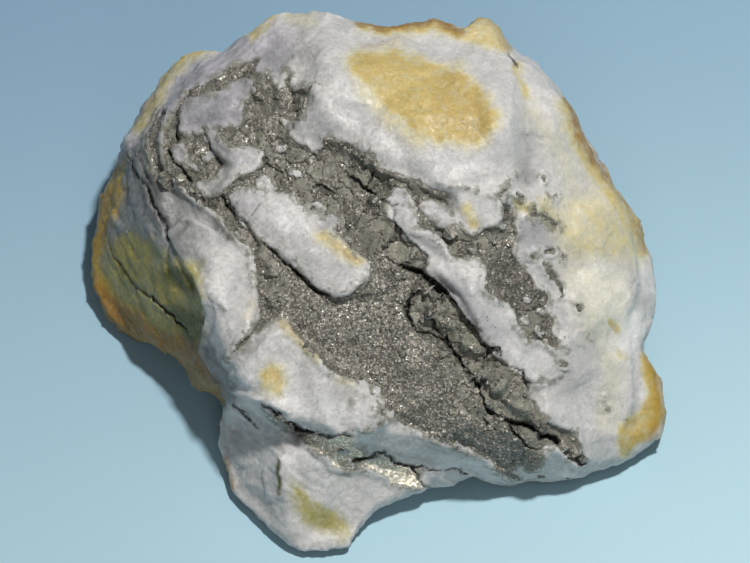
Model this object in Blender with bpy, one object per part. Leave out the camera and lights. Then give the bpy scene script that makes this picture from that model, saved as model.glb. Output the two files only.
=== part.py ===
"""Arsenopyrite with quartz: a hand specimen of vein rock, broken out in one piece.

Milky quartz carries a wide seam of granular arsenopyrite across its broken face, and a second, thin
seam under the front ledge. Metres, +Z up, resting on the ground at z = 0.

The broken face leans towards -Y, so everything is laid out in the face's own frame: u runs to the right,
v up the face and w out of it. Every object carries the same turn from that frame to the upright one.
"""

import math

import bmesh
import bpy
import numpy as np
from mathutils import Vector, noise

MM = 0.001  # the lists below are in millimetres of the face frame

# ---- driving dimensions -------------------------------------------------------------------------------
FACE_TILT = math.radians(30)  # lean of the broken face from level
CORE_W = 25 * MM  # level of the rim's middle, in the face frame
BODY_DEPTH = 60 * MM  # how deep the rock reaches behind the rim, before the ground cuts it
FRONT_ROUNDING = 8.0  # power of the face's fall to the rim: higher is crisper
BACK_ROUNDING = 1.8
GROUND_RELIEF = 3.5 * MM  # hollows in the underside between the pads it stands on
QUARTZ_FACET = 11 * MM  # usual width of the flats that the quartz breaks into
BACK_FACET = 24 * MM
ORE_FACET = 4.6 * MM  # and of the arsenopyrite's coarse grains
ROCK_DETAIL = 8  # subdivisions of the ball that the rock is shaped from
ROCK_FACES = 4400  # faces kept after thinning

SEAM_BASE_W = 22 * MM  # the seams end on these levels inside the rock
LOWER_SEAM_BASE_W = 26 * MM
SEAM_TOP_W = 60 * MM  # above the highest point of the face
SEAM_GAP = 0.3 * MM  # parting between the two minerals

CRYSTAL_SEED = 11

# Outline of the rock seen square to the broken face: u, v and the height of the rim above the ground.
RIM = [
    (53.6, -2, 18), (53.6, 5.2, 20), (52.8, 10.4, 22), (50.4, 16, 24), (44.4, 24.8, 27),
    (41.6, 28.6, 29), (40.2, 32.4, 31), (34.4, 40.6, 36), (30.4, 44.8, 39), (26.2, 46, 41),
    (23.6, 47.6, 42), (21.2, 50.8, 42), (18.6, 50.6, 42), (15.6, 47.8, 42), (13.6, 48.4, 42),
    (10.8, 50.8, 42), (8, 50, 42), (0, 50, 43), (-5.2, 51.2, 43), (-15.2, 52, 42), (-19.8, 51.8, 41),
    (-24.2, 48, 39), (-30, 45.8, 36), (-36.4, 45, 33), (-42.2, 39.6, 29), (-46, 33.6, 26),
    (-49.6, 28, 22), (-51.2, 21.8, 18), (-54, 15, 13), (-56, 8.4, 9), (-56.4, 3.6, 7),
    (-56, -0.8, 6), (-53.8, -5.6, 5), (-48.8, -10.4, 5), (-41.4, -14, 5), (-38.4, -16.2, 6),
    (-35.2, -20.2, 7), (-31, -24.4, 8), (-31.6, -32.4, 5), (-30, -37, 3), (-28.8, -40.4, 2.5),
    (-26.4, -43.6, 2), (-21.6, -47.8, 2), (-17.2, -50.4, 2), (-14, -51.2, 2), (-10, -51.2, 2),
    (-6, -50.8, 2), (-3.2, -46, 3), (-1, -43.6, 4), (2.4, -42, 4), (10, -39.2, 3.5), (17.6, -36.4, 3),
    (24, -37.6, 3), (27.6, -36.4, 3), (32.4, -37.2, 3), (37.2, -36, 3.5), (42.4, -33.8, 4),
    (46.6, -31.2, 4.5), (50.2, -29.6, 5), (53.6, -28, 6), (54.8, -24.6, 8), (53.8, -19.2, 10),
    (52, -16, 13), (49.6, -12.2, 15), (51.2, -6.8, 17),
]

# Fracture planes of the face: a point u, v, w on the plane, then its slope along u and along v.
UPPER_PLANES = {
    "broken face": (0, 0, 44, 0.0, -0.03),
    "far slope": (0, 28, 43, 0.0, -0.65),
    "right slope": (22, 0, 43, -0.42, 0.0),
    "foliated shoulder": (-6, 5.3, 43, 0.28, -0.24),
    "left flank": (-38.6, 8.5, 34.4, 1.39, 0.37),
    "front flank": (1.9, -27.3, 43, 0.03, 1.02),
    "block front": (-16.5, -26, 41, 0.95, 2.9),
}
FOOT_PLANES = {
    "foot crest": (-20, -22, 40, 0.0, -1.6),
    "foot front": (-20, -22, 38.5, -0.06, 0.16),
    "foot left": (-19.4, -30, 37.2, 1.0, 0.13),
    "foot right": (8, -38, 35, -0.6, 0.16),
}

# Outlines of the quartz veins that run into the main seam, from one side of the root round to the other.
FORKED_VEIN = [
    (-32.4, 28.2), (-30.4, 24.8), (-27.7, 22.7), (-29.6, 19.2), (-33.3, 18.3), (-32.5, 16.2),
    (-29.4, 17), (-27, 19.5), (-22.8, 21.8), (-22.2, 24.2), (-27.5, 25.8), (-29.8, 28),
]
WHITE_VEIN = [
    (33.4, -16.8), (31.8, -14), (29.6, -12.5), (27, -8.3), (25.7, -5.2), (20.4, -1.2), (20, 3),
    (17, 3.9), (14, 3.8), (12.6, 7.6), (9.4, 10), (8.2, 13.2), (5.8, 14.6), (4.4, 17.5), (2.8, 14.5),
    (6.3, 10.6), (10.4, 6), (10.2, 3), (13.8, -0.5), (16, -3.8), (19.6, -9.6), (21.6, -13), (26, -16),
    (29, -18.8),
]

# Outlines of the two seams, and of the quartz that stands in the main one.
SEAM = [
    (-25.5, 41), (-22.5, 42), (-19.5, 38.5), (-17, 37), (-12, 36.5), (-12.3, 33), (-15.5, 30),
    (-15, 27), (-12, 25.5), (-8.5, 27.5), (-3.5, 26), (-2.5, 22.5), (3, 20.8), (8.5, 19.3),
    (14.3, 17.5), (15, 13.8), (18.8, 9.5), (22, 10.5), (24, 17), (27.5, 15.3), (28, 11), (27, 6.2),
    (30, 2), (32, -2.5), (34, -7.5), (36, -14), (34.6, -17.4), *WHITE_VEIN, (30.4, -20.2),
    (31.5, -24), (34.5, -27), (38.5, -28), (40, -33), (36, -36.5), (30, -36.5), (26, -37), (22, -34.8),
    (15.3, -31.3), (10, -29.2), (5, -27.8), (1.6, -27), (0.8, -23.5), (-3, -19.3), (-9.4, -15.5),
    (-14, -11), (-16.7, -8), (-18.2, -7.2), (-21.4, -9.3), (-24, -12.5), (-28, -15.6), (-27.8, -14),
    (-24, -9.5), (-23, -4.5), (-22.8, -1), (-23.8, 4), (-26.5, 7.2), (-30, 9.5), (-37, 16.5),
    (-39.5, 19.5), (-42, 23), (-42, 26.5), (-39.5, 31), (-37.5, 29), (-36.8, 28), *FORKED_VEIN,
    (-26.5, 29.3), (-25, 33), (-25.5, 37),
]
LONG_BOULDER = [
    (-27, 15.8), (-25, 17.2), (-21.5, 16.8), (-19.5, 16), (-16.5, 16), (-14.8, 14.2), (-11.7, 9.8),
    (-7.5, 8.5), (-4, 4.8), (-1.8, 1.7), (-3.5, -1), (-6.8, -2.2), (-10.2, -1.1), (-13.2, 1.4),
    (-16.6, 4.3), (-21.6, 8), (-23.6, 11.2), (-25.8, 13.2),
]
GREY_PATCH = [(9, 14.5), (11.5, 13.6), (14.3, 11.5), (14.6, 10), (12.6, 10.6), (10.2, 12.2)]
SEAM_QUARTZ = [LONG_BOULDER, GREY_PATCH]
LOWER_SEAM = [
    (-13.8, -29.2), (-8.7, -29), (-4.4, -29.2), (-3.6, -31.2), (-0.7, -33.4), (1.5, -32.8),
    (4, -34.4), (8, -35.6), (8.7, -38), (5.8, -38.6), (2.6, -37.6), (-2, -35.8), (-4.4, -36.2),
    (-8, -35.4), (-10, -33.6), (-11.6, -31.8),
]

# Forms that stand above (+) or lie below (-) the planes: outline, height, width of the sloping edge.
LEFT_MASS = [
    (-39, 9), (-36, 12), (-31, 9.5), (-27, 7), (-24, 4), (-23, 0), (-23.5, -6), (-25, -10.5),
    (-28, -15), (-30.5, -17), (-33, -13), (-31.5, -6), (-33.5, 0),
]
BLOCK = [
    (-27.6, -16.6), (-24.2, -12.8), (-21.4, -9.6), (-18.3, -7.5), (-16.4, -8.4), (-13.6, -11.4),
    (-9, -15.8), (-3, -19.6), (0.6, -23.6), (1.4, -27.2), (-5, -30), (-12, -28.4), (-20, -23.4),
    (-27.4, -20.6),
]
DOME = [
    (-10, 42), (0, 45), (14, 44), (24, 40), (27.5, 32), (27.5, 24), (24, 18), (14, 18), (2, 21.5),
    (-6, 27), (-12, 30), (-13, 36),
]
DOME_LUMP = [(15, 15.5), (14.8, 13), (17, 9.8), (19, 9), (22.5, 11), (23.5, 14.5), (21, 17.5), (17, 17.5)]
GRANULAR_FLAT = [
    (-20, -6), (-8, -2.5), (2, -1), (6, -4), (7, -10), (14, -17), (19, -22), (26, -28), (28, -34),
    (20, -33), (8, -28.5), (2, -26), (-3, -19), (-10, -14.5), (-16, -8),
]
CREVICE_LEDGE = [
    (6, 2.5), (12, 2), (16, -2.5), (20, -10), (26, -16.5), (30, -19.5), (31, -24), (37, -29),
    (39, -33.5), (34, -31.5), (27, -27), (20.5, -22), (17, -15.5), (12, -9.5), (7, -7),
]
CORNER_LOBE = [(49, -13), (56, -14), (58, -26), (54, -33), (46, -37), (46.5, -30), (48.5, -22)]
FORMS = [
    (DOME, 2.6, 7.0),
    (DOME_LUMP, 0.6, 1.6),
    (LEFT_MASS, 1.8, 1.4),
    (BLOCK, 1.5, 1.2),
    (SEAM, -0.8, 1.4),
    (FORKED_VEIN, 0.7, 1.2),
    (LONG_BOULDER, 2.2, 2.4),
    (WHITE_VEIN, 0.9, 1.8),
    (GREY_PATCH, 0.7, 1.0),
    (GRANULAR_FLAT, -0.7, 3.0),
    (CREVICE_LEDGE, -1.0, 1.2),
    (CORNER_LOBE, -3.0, 1.5),
]

# Creases, where two masses meet in a soft valley: start, end, depth, half width.
CREASES = [
    ((27, 42.5), (28, 19), 1.8, 3.0),
    ((-36, 29), (-20, 47), 1.2, 2.0),
    ((-42, 22), (-33, 2), 1.2, 1.8),
    ((-19, -24), (-17.5, -47), -1.4, 3.5),
    ((-25, 2), (-31, 11), 1.0, 2.0),
]

# Cracks: at each station u, v, half width and depth.
CRACKS = {
    "upper crevice": [
        (3.5, 3.6, 0.3, 2), (7, 2.5, 0.7, 5), (11, 1.4, 1.0, 8), (14, -0.9, 1.15, 9),
        (16.5, -4.4, 0.7, 8), (20, -10, 0.6, 7), (22, -13.5, 0.5, 6), (26, -15.8, 0.4, 4),
        (29, -19.2, 0.6, 5), (29.3, -21.5, 0.3, 2),
    ],
    "lower crevice": [
        (6, -0.5, 0.4, 3), (6.3, -4.5, 0.9, 7), (7, -8.2, 0.8, 7), (10.6, -10, 0.6, 7),
        (13.8, -12.6, 0.6, 7), (16.6, -16.6, 0.6, 7), (20, -20.4, 0.7, 7), (22.3, -24, 0.9, 8),
        (25.6, -26.6, 1.1, 8), (30, -28.8, 0.9, 8), (34, -31.6, 0.9, 7), (37.4, -34, 0.7, 5),
        (40.5, -34.6, 0.3, 2),
    ],
    "boulder shadow": [
        (-23.5, 9.6, 0.3, 2), (-20, 6, 0.5, 4), (-16, 2.2, 0.8, 6), (-12.8, -0.2, 1.3, 7),
        (-10, -1.9, 0.5, 4), (-7.5, -2.9, 0.3, 2),
    ],
    "block undercut": [
        (-21.5, -23.2, 0.3, 3), (-18, -25.4, 0.9, 7), (-14, -27.8, 1.2, 8), (-9.5, -29.4, 0.9, 6),
        (-5, -30.2, 0.4, 3),
    ],
    "lower ledge": [
        (-2.5, -32.2, 0.4, 3), (1.8, -32.4, 0.6, 5), (4.8, -34.2, 0.7, 5), (8.8, -35.4, 0.4, 3),
        (12, -36, 0.3, 2),
    ],
    "flank crack": [
        (-46.6, 23, 0.3, 2), (-45, 20, 0.6, 4), (-42.6, 16, 0.8, 5), (-40.4, 12.6, 0.7, 4),
        (-38.6, 8.6, 0.3, 2),
    ],
}

# Coarse arsenopyrite crystals on the ledge between the crevices, and a few in the upper seam:
# start and end of the line that they follow, how many, and their smallest and largest half length.
CRYSTAL_LINES = [
    ((9, -1), (15, -11), 8, 1.6, 2.6),
    ((13, -6), (19, -16), 7, 1.6, 2.6),
    ((21, -17), (27, -22.5), 6, 1.4, 2.3),
    ((25, -23), (34, -28.5), 6, 1.3, 2.1),
    ((-2, 19), (6, 10), 5, 1.3, 2.1),
]

QUARTZ_COLOUR = (0.74, 0.73, 0.72, 1)
ARSENOPYRITE_COLOUR = (0.30, 0.29, 0.25, 1)


# ---- shape of the rock --------------------------------------------------------------------------------
def smooth(share):
    share = np.clip(share, 0, 1)
    return share * share * (3 - 2 * share)


def height_above_ground(v, w):
    return v * math.sin(FACE_TILT) + w * math.cos(FACE_TILT)


def level_at_height(v, height):
    """The w of the point that stands this high above the ground at v."""
    return (height - v * math.sin(FACE_TILT)) / math.cos(FACE_TILT)


def inside_depth(u, v, outline):
    """Distance of each point from an outline in millimetres, positive inside it."""
    inside = np.zeros(len(u), bool)
    nearest = np.full(len(u), np.inf)
    corners = np.array(outline, float) * MM
    for (u0, v0), (u1, v1) in zip(corners, np.roll(corners, -1, axis=0)):
        side_u, side_v = u1 - u0, v1 - v0
        along = np.clip(((u - u0) * side_u + (v - v0) * side_v) / (side_u**2 + side_v**2), 0, 1)
        nearest = np.minimum(nearest, np.hypot(u - u0 - along * side_u, v - v0 - along * side_v))
        crosses = (v0 > v) != (v1 > v)
        inside ^= crosses & (u < (v - v0) * side_u / (side_v or 1e-12) + u0)
    return np.where(inside, nearest, -nearest) / MM


def rim_at(angle):
    """Radius and level of the rim at each angle about the w axis."""
    rim = np.array(RIM, float) * MM
    angles = np.arctan2(rim[:, 1], rim[:, 0])
    order = np.argsort(angles)
    radius = np.hypot(rim[:, 0], rim[:, 1])[order]
    level = level_at_height(rim[:, 1], rim[:, 2])[order]
    turn = 2 * math.pi
    return np.interp(angle, angles[order], radius, period=turn), np.interp(
        angle, angles[order], level, period=turn
    )


def lowest_of(planes, u, v, softness=0.8 * MM):
    """The surface under a set of planes, with its creases a little rounded."""
    levels = np.array(
        [(w0 * MM + (u - u0 * MM) * du + (v - v0 * MM) * dv) for u0, v0, w0, du, dv in planes.values()]
    )
    floor = levels.min(axis=0)
    return floor - softness * np.log(np.exp(-(levels - floor) / softness).sum(axis=0))


def crease_depth(u, v, start, end, depth, half_width):
    (u0, v0), (u1, v1) = np.array([start, end], float) * MM
    length_squared = (u1 - u0) ** 2 + (v1 - v0) ** 2
    along = np.clip(((u - u0) * (u1 - u0) + (v - v0) * (v1 - v0)) / length_squared, 0, 1)
    aside = np.hypot(u - u0 - along * (u1 - u0), v - v0 - along * (v1 - v0))
    return depth * MM * smooth(1 - aside / (half_width * MM))


def face_level(u, v):
    """The broken face: fracture planes, then the forms and creases on them."""
    level = np.maximum(lowest_of(UPPER_PLANES, u, v), lowest_of(FOOT_PLANES, u, v))
    for outline, height, edge in FORMS:
        level = level + height * MM * smooth(0.5 + inside_depth(u, v, outline) / edge)
    for crease in CREASES:
        level = level - crease_depth(u, v, *crease)
    return level


def rough(points, size, seed_shift):
    """Rough fracture between -1 and 1, for points in metres."""
    return np.array([noise.noise(Vector(p) / size + Vector(seed_shift)) for p in points])


def broken(points, size, tilt, step, sharpness, seed_shift):
    """
    Flats of a broken surface, in millimetres. Each cell of a scatter has its own level and lean, and the
    flats run into each other over a strip that is narrower the higher the sharpness.
    """
    heights = np.empty(len(points))
    for i, point in enumerate(points):
        scaled = Vector(point) / size + Vector(seed_shift)
        distances, centres = noise.voronoi(scaled)
        total = weight_sum = 0.0
        for distance, centre in zip(distances, centres):
            lean = noise.cell_vector(centre * 97.3) * 2 - Vector((1, 1, 1))
            level = (scaled - centre).dot(lean) * tilt + (noise.cell(centre * 57.7) * 2 - 1) * step
            weight = math.exp((distances[0] - distance) * sharpness)
            total += level * weight
            weight_sum += weight
        heights[i] = total / weight_sum
    return heights * size / MM


def relief(points, ore, face_share):
    """How far the surface stands out of the planes, in millimetres. The face turns into the back's relief
    at the rim, where its share falls to nothing."""
    height = 0.9 * rough(points, 14 * MM, (3, 1, 7)) + 0.45 * rough(points, 6 * MM, (9, 2, 4))
    flat = points * (1, 1, 0)
    quartz = broken(flat, QUARTZ_FACET, 0.24, 0.05, 9, (4, 4, 1)) + 0.3 * rough(points, 3 * MM, (5, 8, 6))
    grains = broken(flat, ORE_FACET, 0.2, 0.08, 22, (1, 6, 2))
    back = broken(points, BACK_FACET, 0.3, 0.07, 9, (8, 3, 5)) + 0.8 * rough(points, 9 * MM, (2, 2, 9))
    return height + (quartz * (1 - ore) + grains * ore) * face_share + back * (1 - face_share)


def shape_rock(mesh):
    """Moves the points of a unit ball, whose +Z faces out of the broken face, to the rock's surface."""
    ball = np.empty(len(mesh.vertices) * 3, np.float32)
    mesh.vertices.foreach_get("co", ball)
    ball = ball.reshape(-1, 3).astype(float)
    ball /= np.linalg.norm(ball, axis=1)[:, None]
    aim = ball[:, :2] / np.maximum(np.hypot(ball[:, 0], ball[:, 1]), 1e-9)[:, None]
    share = np.sqrt(1 - np.abs(ball[:, 2]) ** 1.6)
    radius, rim_level = rim_at(np.arctan2(ball[:, 1], ball[:, 0]))
    u, v = (aim * (share * radius)[:, None]).T
    front = ball[:, 2] >= 0

    face_fall = np.sqrt(1 - share**FRONT_ROUNDING)
    face = rim_level + (face_level(u, v) - rim_level) * face_fall
    back_fall = (1 - share**BACK_ROUNDING) ** (1 / BACK_ROUNDING)
    back = rim_level * share**2 + CORE_W * (1 - share**2) - BODY_DEPTH * back_fall
    points = np.column_stack([u, v, np.where(front, face, back)])

    ore = smooth(inside_depth(u, v, SEAM) / 0.8)
    for outline in SEAM_QUARTZ:
        ore = ore * smooth(-inside_depth(u, v, outline) / 0.8)
    ore = ore * (1 - 0.65 * smooth(inside_depth(u, v, GRANULAR_FLAT) / 3))
    from_rim = smooth((1 - share) / 0.1)
    height = relief(points, ore, np.where(front, from_rim, 0)) * MM * (0.5 + 0.5 * from_rim)
    side = np.column_stack([aim, np.zeros(len(aim))])
    outward = np.where(front[:, None], (0.0, 0.0, 1.0), ball)
    points += (outward * from_rim[:, None] + side * (1 - from_rim)[:, None]) * height[:, None]
    stand_on_ground(points)
    mesh.vertices.foreach_set("co", points.astype(np.float32).ravel())
    mesh.update()


def stand_on_ground(points):
    """Lifts what lies under the ground onto it, leaving shallow hollows between the pads."""
    height = height_above_ground(points[:, 1], points[:, 2])
    hollow = GROUND_RELIEF * np.clip(rough(points * (1, 1, 0), 17 * MM, (2, 5, 1)) * 1.6 + 0.1, 0, 1)
    lift = np.maximum(hollow - height, 0)
    points[:, 1] += lift * math.sin(FACE_TILT)
    points[:, 2] += lift * math.cos(FACE_TILT)


def settle_pads(mesh):
    """Thinning leaves the pads uneven by a hair, so every point that near the ground is put on it."""
    for vertex in mesh.vertices:
        height = height_above_ground(vertex.co.y, vertex.co.z)
        if height < 0.08 * MM:
            vertex.co.y -= height * math.sin(FACE_TILT)
            vertex.co.z -= height * math.cos(FACE_TILT)


def mesh_of(obj, name):
    """The object's evaluated shape as a mesh of its own, with doubled points joined."""
    graph = bpy.context.evaluated_depsgraph_get()
    mesh = bpy.data.meshes.new_from_object(obj.evaluated_get(graph), depsgraph=graph)
    mesh.name = name
    data = bmesh.new()
    data.from_mesh(mesh)
    bmesh.ops.remove_doubles(data, verts=data.verts, dist=1e-6)
    bmesh.ops.recalc_face_normals(data, faces=data.faces)
    data.to_mesh(mesh)
    data.free()
    return mesh


def make_rock_mesh():
    bpy.ops.mesh.primitive_ico_sphere_add(subdivisions=ROCK_DETAIL, radius=1)
    ball = bpy.context.object
    shape_rock(ball.data)
    thin = ball.modifiers.new("thin", "DECIMATE")
    thin.ratio = ROCK_FACES / len(ball.data.polygons)
    mesh = mesh_of(ball, "rock")
    bpy.data.objects.remove(ball)
    settle_pads(mesh)
    return mesh


# ---- cutters ------------------------------------------------------------------------------------------
def grown(outline, distance):
    """The outline moved outwards by a distance in millimetres, or inwards by a negative one."""
    corners = np.array(outline, float)
    area = np.sum(corners[:, 0] * np.roll(corners[:, 1], -1) - np.roll(corners[:, 0], -1) * corners[:, 1])
    turn = 1 if area > 0 else -1
    sides = np.roll(corners, -1, axis=0) - corners
    normals = np.column_stack([sides[:, 1], -sides[:, 0]]) * turn
    normals /= np.linalg.norm(normals, axis=1)[:, None]
    before = np.roll(normals, 1, axis=0)
    share = 1 + np.sum(normals * before, axis=1)
    return corners + distance * (normals + before) / np.maximum(share, 0.5)[:, None]


def make_prism(name, outline, holes, base, spread):
    """A closed prism over an outline with holes, its sides moved outwards by spread millimetres."""
    curve = bpy.data.curves.new(name, "CURVE")
    curve.dimensions = "2D"
    curve.fill_mode = "BOTH"
    curve.extrude = (SEAM_TOP_W - base) / 2
    for ring in [grown(outline, spread), *[grown(hole, -spread) for hole in holes]]:
        spline = curve.splines.new("POLY")
        spline.points.add(len(ring) - 1)
        spline.use_cyclic_u = True
        for point, (u, v) in zip(spline.points, ring * MM):
            point.co = (u, v, 0, 1)
    flat = bpy.data.objects.new(name, curve)
    bpy.context.scene.collection.objects.link(flat)
    mesh = mesh_of(flat, name)
    bpy.data.objects.remove(flat)
    for vertex in mesh.vertices:
        vertex.co.z += (SEAM_TOP_W + base) / 2
    return mesh


def crack_stations(stations, rng):
    """Stations about 2 mm apart, each knocked a little aside so that the crack's edges are ragged."""
    stations = np.array(stations, float)
    steps = np.linalg.norm(np.diff(stations[:, :2], axis=0), axis=1)
    travelled = np.concatenate([[0], np.cumsum(steps)])
    count = max(4, round(travelled[-1] / 2.0))
    marks = np.linspace(0, travelled[-1], count)
    even = np.column_stack([np.interp(marks, travelled, stations[:, i]) for i in range(4)])
    even[1:-1, :2] += rng.normal(0, 0.28, (count - 2, 2))
    even[:, 2] *= rng.uniform(0.75, 1.25, count)
    return even * MM


def make_crack(name, stations, rng):
    """A wedge that follows a crack: wide above the surface, narrow at its foot."""
    even = crack_stations(stations, rng)
    level = face_level(even[:, 0], even[:, 1])
    heading = np.gradient(even[:, :2], axis=0)
    aside = np.column_stack([-heading[:, 1], heading[:, 0]])
    aside /= np.linalg.norm(aside, axis=1)[:, None]
    data = bmesh.new()
    rings = []
    for (u, v, half_width, depth), w, (du, dv) in zip(even, level, aside):
        mouth, foot = half_width * 0.8, half_width * 0.3
        section = [(-mouth, 4 * MM), (mouth, 4 * MM), (foot, -depth), (-foot, -depth)]
        rings.append([data.verts.new((u + du * s, v + dv * s, w + rise)) for s, rise in section])
    for ring, after in zip(rings, rings[1:]):
        for i in range(4):
            data.faces.new([ring[i], ring[(i + 1) % 4], after[(i + 1) % 4], after[i]])
    data.faces.new(rings[0][::-1])
    data.faces.new(rings[-1])
    bmesh.ops.recalc_face_normals(data, faces=data.faces)
    bmesh.ops.triangulate(data, faces=data.faces)
    mesh = bpy.data.meshes.new(name)
    data.to_mesh(mesh)
    data.free()
    return mesh


# ---- crystals -----------------------------------------------------------------------------------------
def add_crystal(data, place, half_length, rng):
    """One stubby rhombic prism with a roof-shaped end, as arsenopyrite grows, standing out of the seam."""
    made = bmesh.ops.create_cube(data, size=2)["verts"]
    turn = rng.uniform(0, math.pi)
    lean = Vector((rng.normal(0, 0.45), rng.normal(0, 0.45), 1)).normalized()
    upright = lean.to_track_quat("Z", "Y").to_matrix()
    for corner in made:
        x, y, z = corner.co
        x, y = x * math.cos(0.6) + y * math.sin(0.6) * 0.75, y * math.sin(0.95)
        if z > 0:
            x *= 0.35
        flat = Vector((x * 0.8, y * 0.8, z * 0.9)) * half_length
        spun = Vector(
            (
                flat.x * math.cos(turn) - flat.y * math.sin(turn),
                flat.x * math.sin(turn) + flat.y * math.cos(turn),
                flat.z,
            )
        )
        corner.co = upright @ spun + place


def distance_to_cracks(u, v):
    """How far a point of the face is from the nearest crack's edge, in millimetres."""
    nearest = np.inf
    for stations in CRACKS.values():
        for (u0, v0, half0, _), (u1, v1, half1, _) in zip(stations, stations[1:]):
            length_squared = (u1 - u0) ** 2 + (v1 - v0) ** 2
            along = min(max(((u - u0) * (u1 - u0) + (v - v0) * (v1 - v0)) / length_squared, 0), 1)
            aside = math.hypot(u - u0 - along * (u1 - u0), v - v0 - along * (v1 - v0))
            nearest = min(nearest, aside - half0 - along * (half1 - half0))
    return nearest


def make_crystals(rng):
    data = bmesh.new()
    for start, end, count, smallest, largest in CRYSTAL_LINES:
        for share in (np.arange(count) + 0.5) / count:
            u, v = np.array(start) * (1 - share) + np.array(end) * share
            u, v = u + rng.normal(0, 1.1), v + rng.normal(0, 1.1)
            half_length = rng.uniform(smallest, largest)
            clear = [-inside_depth(np.array([u * MM]), np.array([v * MM]), hole)[0] for hole in SEAM_QUARTZ]
            clear.append(inside_depth(np.array([u * MM]), np.array([v * MM]), SEAM)[0])
            if min(clear) < half_length * 1.25 + 0.4 or distance_to_cracks(u, v) < half_length * 0.4:
                continue
            level = face_level(np.array([u * MM]), np.array([v * MM]))[0]
            place = Vector((u * MM, v * MM, level + 0.1 * half_length * MM))
            add_crystal(data, place, half_length * MM, rng)
    mesh = bpy.data.meshes.new("crystals")
    data.to_mesh(mesh)
    data.free()
    return mesh


# ---- assembly -----------------------------------------------------------------------------------------
def clear_scene():
    for obj in list(bpy.data.objects):
        bpy.data.objects.remove(obj, do_unlink=True)


def new_collection(name, hidden=False):
    made = bpy.data.collections.new(name)
    made.hide_render = hidden
    bpy.context.scene.collection.children.link(made)
    return made


def place_object(name, mesh, collection, shift):
    obj = bpy.data.objects.new(name, mesh)
    obj.rotation_euler.x = FACE_TILT
    obj.location = shift
    collection.objects.link(obj)
    return obj


def place_cutter(name, mesh, collection, shift):
    cutter = place_object(name, mesh, collection, shift)
    cutter.hide_render = True
    cutter.display_type = "WIRE"
    return cutter


def combine(obj, operation, other, overlapping=False):
    step = obj.modifiers.new(f"{operation.lower()} {other.name}", "BOOLEAN")
    step.operation = operation
    step.object = other
    step.solver = "EXACT"
    step.use_self = overlapping


def settle(obj):
    """Works the object's cuts into its mesh, and drops the slivers that they part from it."""
    mesh = mesh_of(obj, obj.name)
    data = bmesh.new()
    data.from_mesh(mesh)
    left = set(data.verts)
    bodies = []
    while left:
        body = {left.pop()}
        edge_of = list(body)
        while edge_of:
            vertex = edge_of.pop()
            for edge in vertex.link_edges:
                other = edge.other_vert(vertex)
                if other in left:
                    left.remove(other)
                    body.add(other)
                    edge_of.append(other)
        bodies.append(body)
    bodies.sort(key=len)
    bmesh.ops.delete(data, geom=[v for body in bodies[:-1] for v in body], context="VERTS")
    data.to_mesh(mesh)
    data.free()
    obj.modifiers.clear()
    obj.data = mesh


def centre_shift(mesh):
    """The move that brings the middle of the rock's footprint over the origin."""
    local = np.array([v.co for v in mesh.vertices], float)
    across = local[:, 0]
    along = local[:, 1] * math.cos(FACE_TILT) - local[:, 2] * math.sin(FACE_TILT)
    return Vector((-(across.min() + across.max()) / 2, -(along.min() + along.max()) / 2, 0))


def mineral(name, colour, roughness, metallic):
    made = bpy.data.materials.new(name)
    made.use_nodes = True
    shader = made.node_tree.nodes["Principled BSDF"]
    shader.inputs["Base Color"].default_value = colour
    shader.inputs["Roughness"].default_value = roughness
    shader.inputs["Metallic"].default_value = metallic
    return made


def main():
    clear_scene()
    rng = np.random.default_rng(CRYSTAL_SEED)
    specimen = new_collection("arsenopyrite with quartz")
    cutters = new_collection("cutters", hidden=True)
    rock = make_rock_mesh()
    shift = centre_shift(rock)

    def cutter(name, mesh):
        return place_cutter(name, mesh, cutters, shift)

    seam_body = cutter("seam body", make_prism("seam body", SEAM, SEAM_QUARTZ, SEAM_BASE_W, 0))
    seam_pocket = cutter(
        "seam pocket", make_prism("seam pocket", SEAM, SEAM_QUARTZ, SEAM_BASE_W - SEAM_GAP, SEAM_GAP / MM)
    )
    lower_body = cutter("lower body", make_prism("lower body", LOWER_SEAM, [], LOWER_SEAM_BASE_W, 0))
    lower_pocket = cutter(
        "lower pocket",
        make_prism("lower pocket", LOWER_SEAM, [], LOWER_SEAM_BASE_W - SEAM_GAP, SEAM_GAP / MM),
    )
    cracks = [cutter(name, make_crack(name, stations, rng)) for name, stations in CRACKS.items()]
    crystals = cutter("crystals", make_crystals(rng))

    quartz = place_object("quartz_matrix", rock, specimen, shift)
    quartz.data.materials.append(mineral("milky quartz", QUARTZ_COLOUR, 0.45, 0.0))
    for tool in [seam_pocket, lower_pocket, *cracks]:
        combine(quartz, "DIFFERENCE", tool)

    metal = mineral("arsenopyrite", ARSENOPYRITE_COLOUR, 0.4, 0.8)
    seam = place_object("arsenopyrite_seam", rock.copy(), specimen, shift)
    lower_seam = place_object("arsenopyrite_lower_seam", rock.copy(), specimen, shift)
    for obj, body in [(seam, seam_body), (lower_seam, lower_body)]:
        obj.data.materials.clear()
        obj.data.materials.append(metal)
        combine(obj, "INTERSECT", body)
    for tool in cracks:
        combine(seam, "DIFFERENCE", tool)
    combine(seam, "UNION", crystals, overlapping=True)
    for obj in (quartz, seam, lower_seam):
        settle(obj)


main()
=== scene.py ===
"""Arsenopyrite with quartz: the dressed pieces of the specimen, its finishes and its stage.

Lengths in the modelling functions are in millimetres. Settings, lights and materials are in metres.
"""

import itertools
import math

import bpy
import numpy as np
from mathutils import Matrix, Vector
from mathutils.bvhtree import BVHTree


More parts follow.
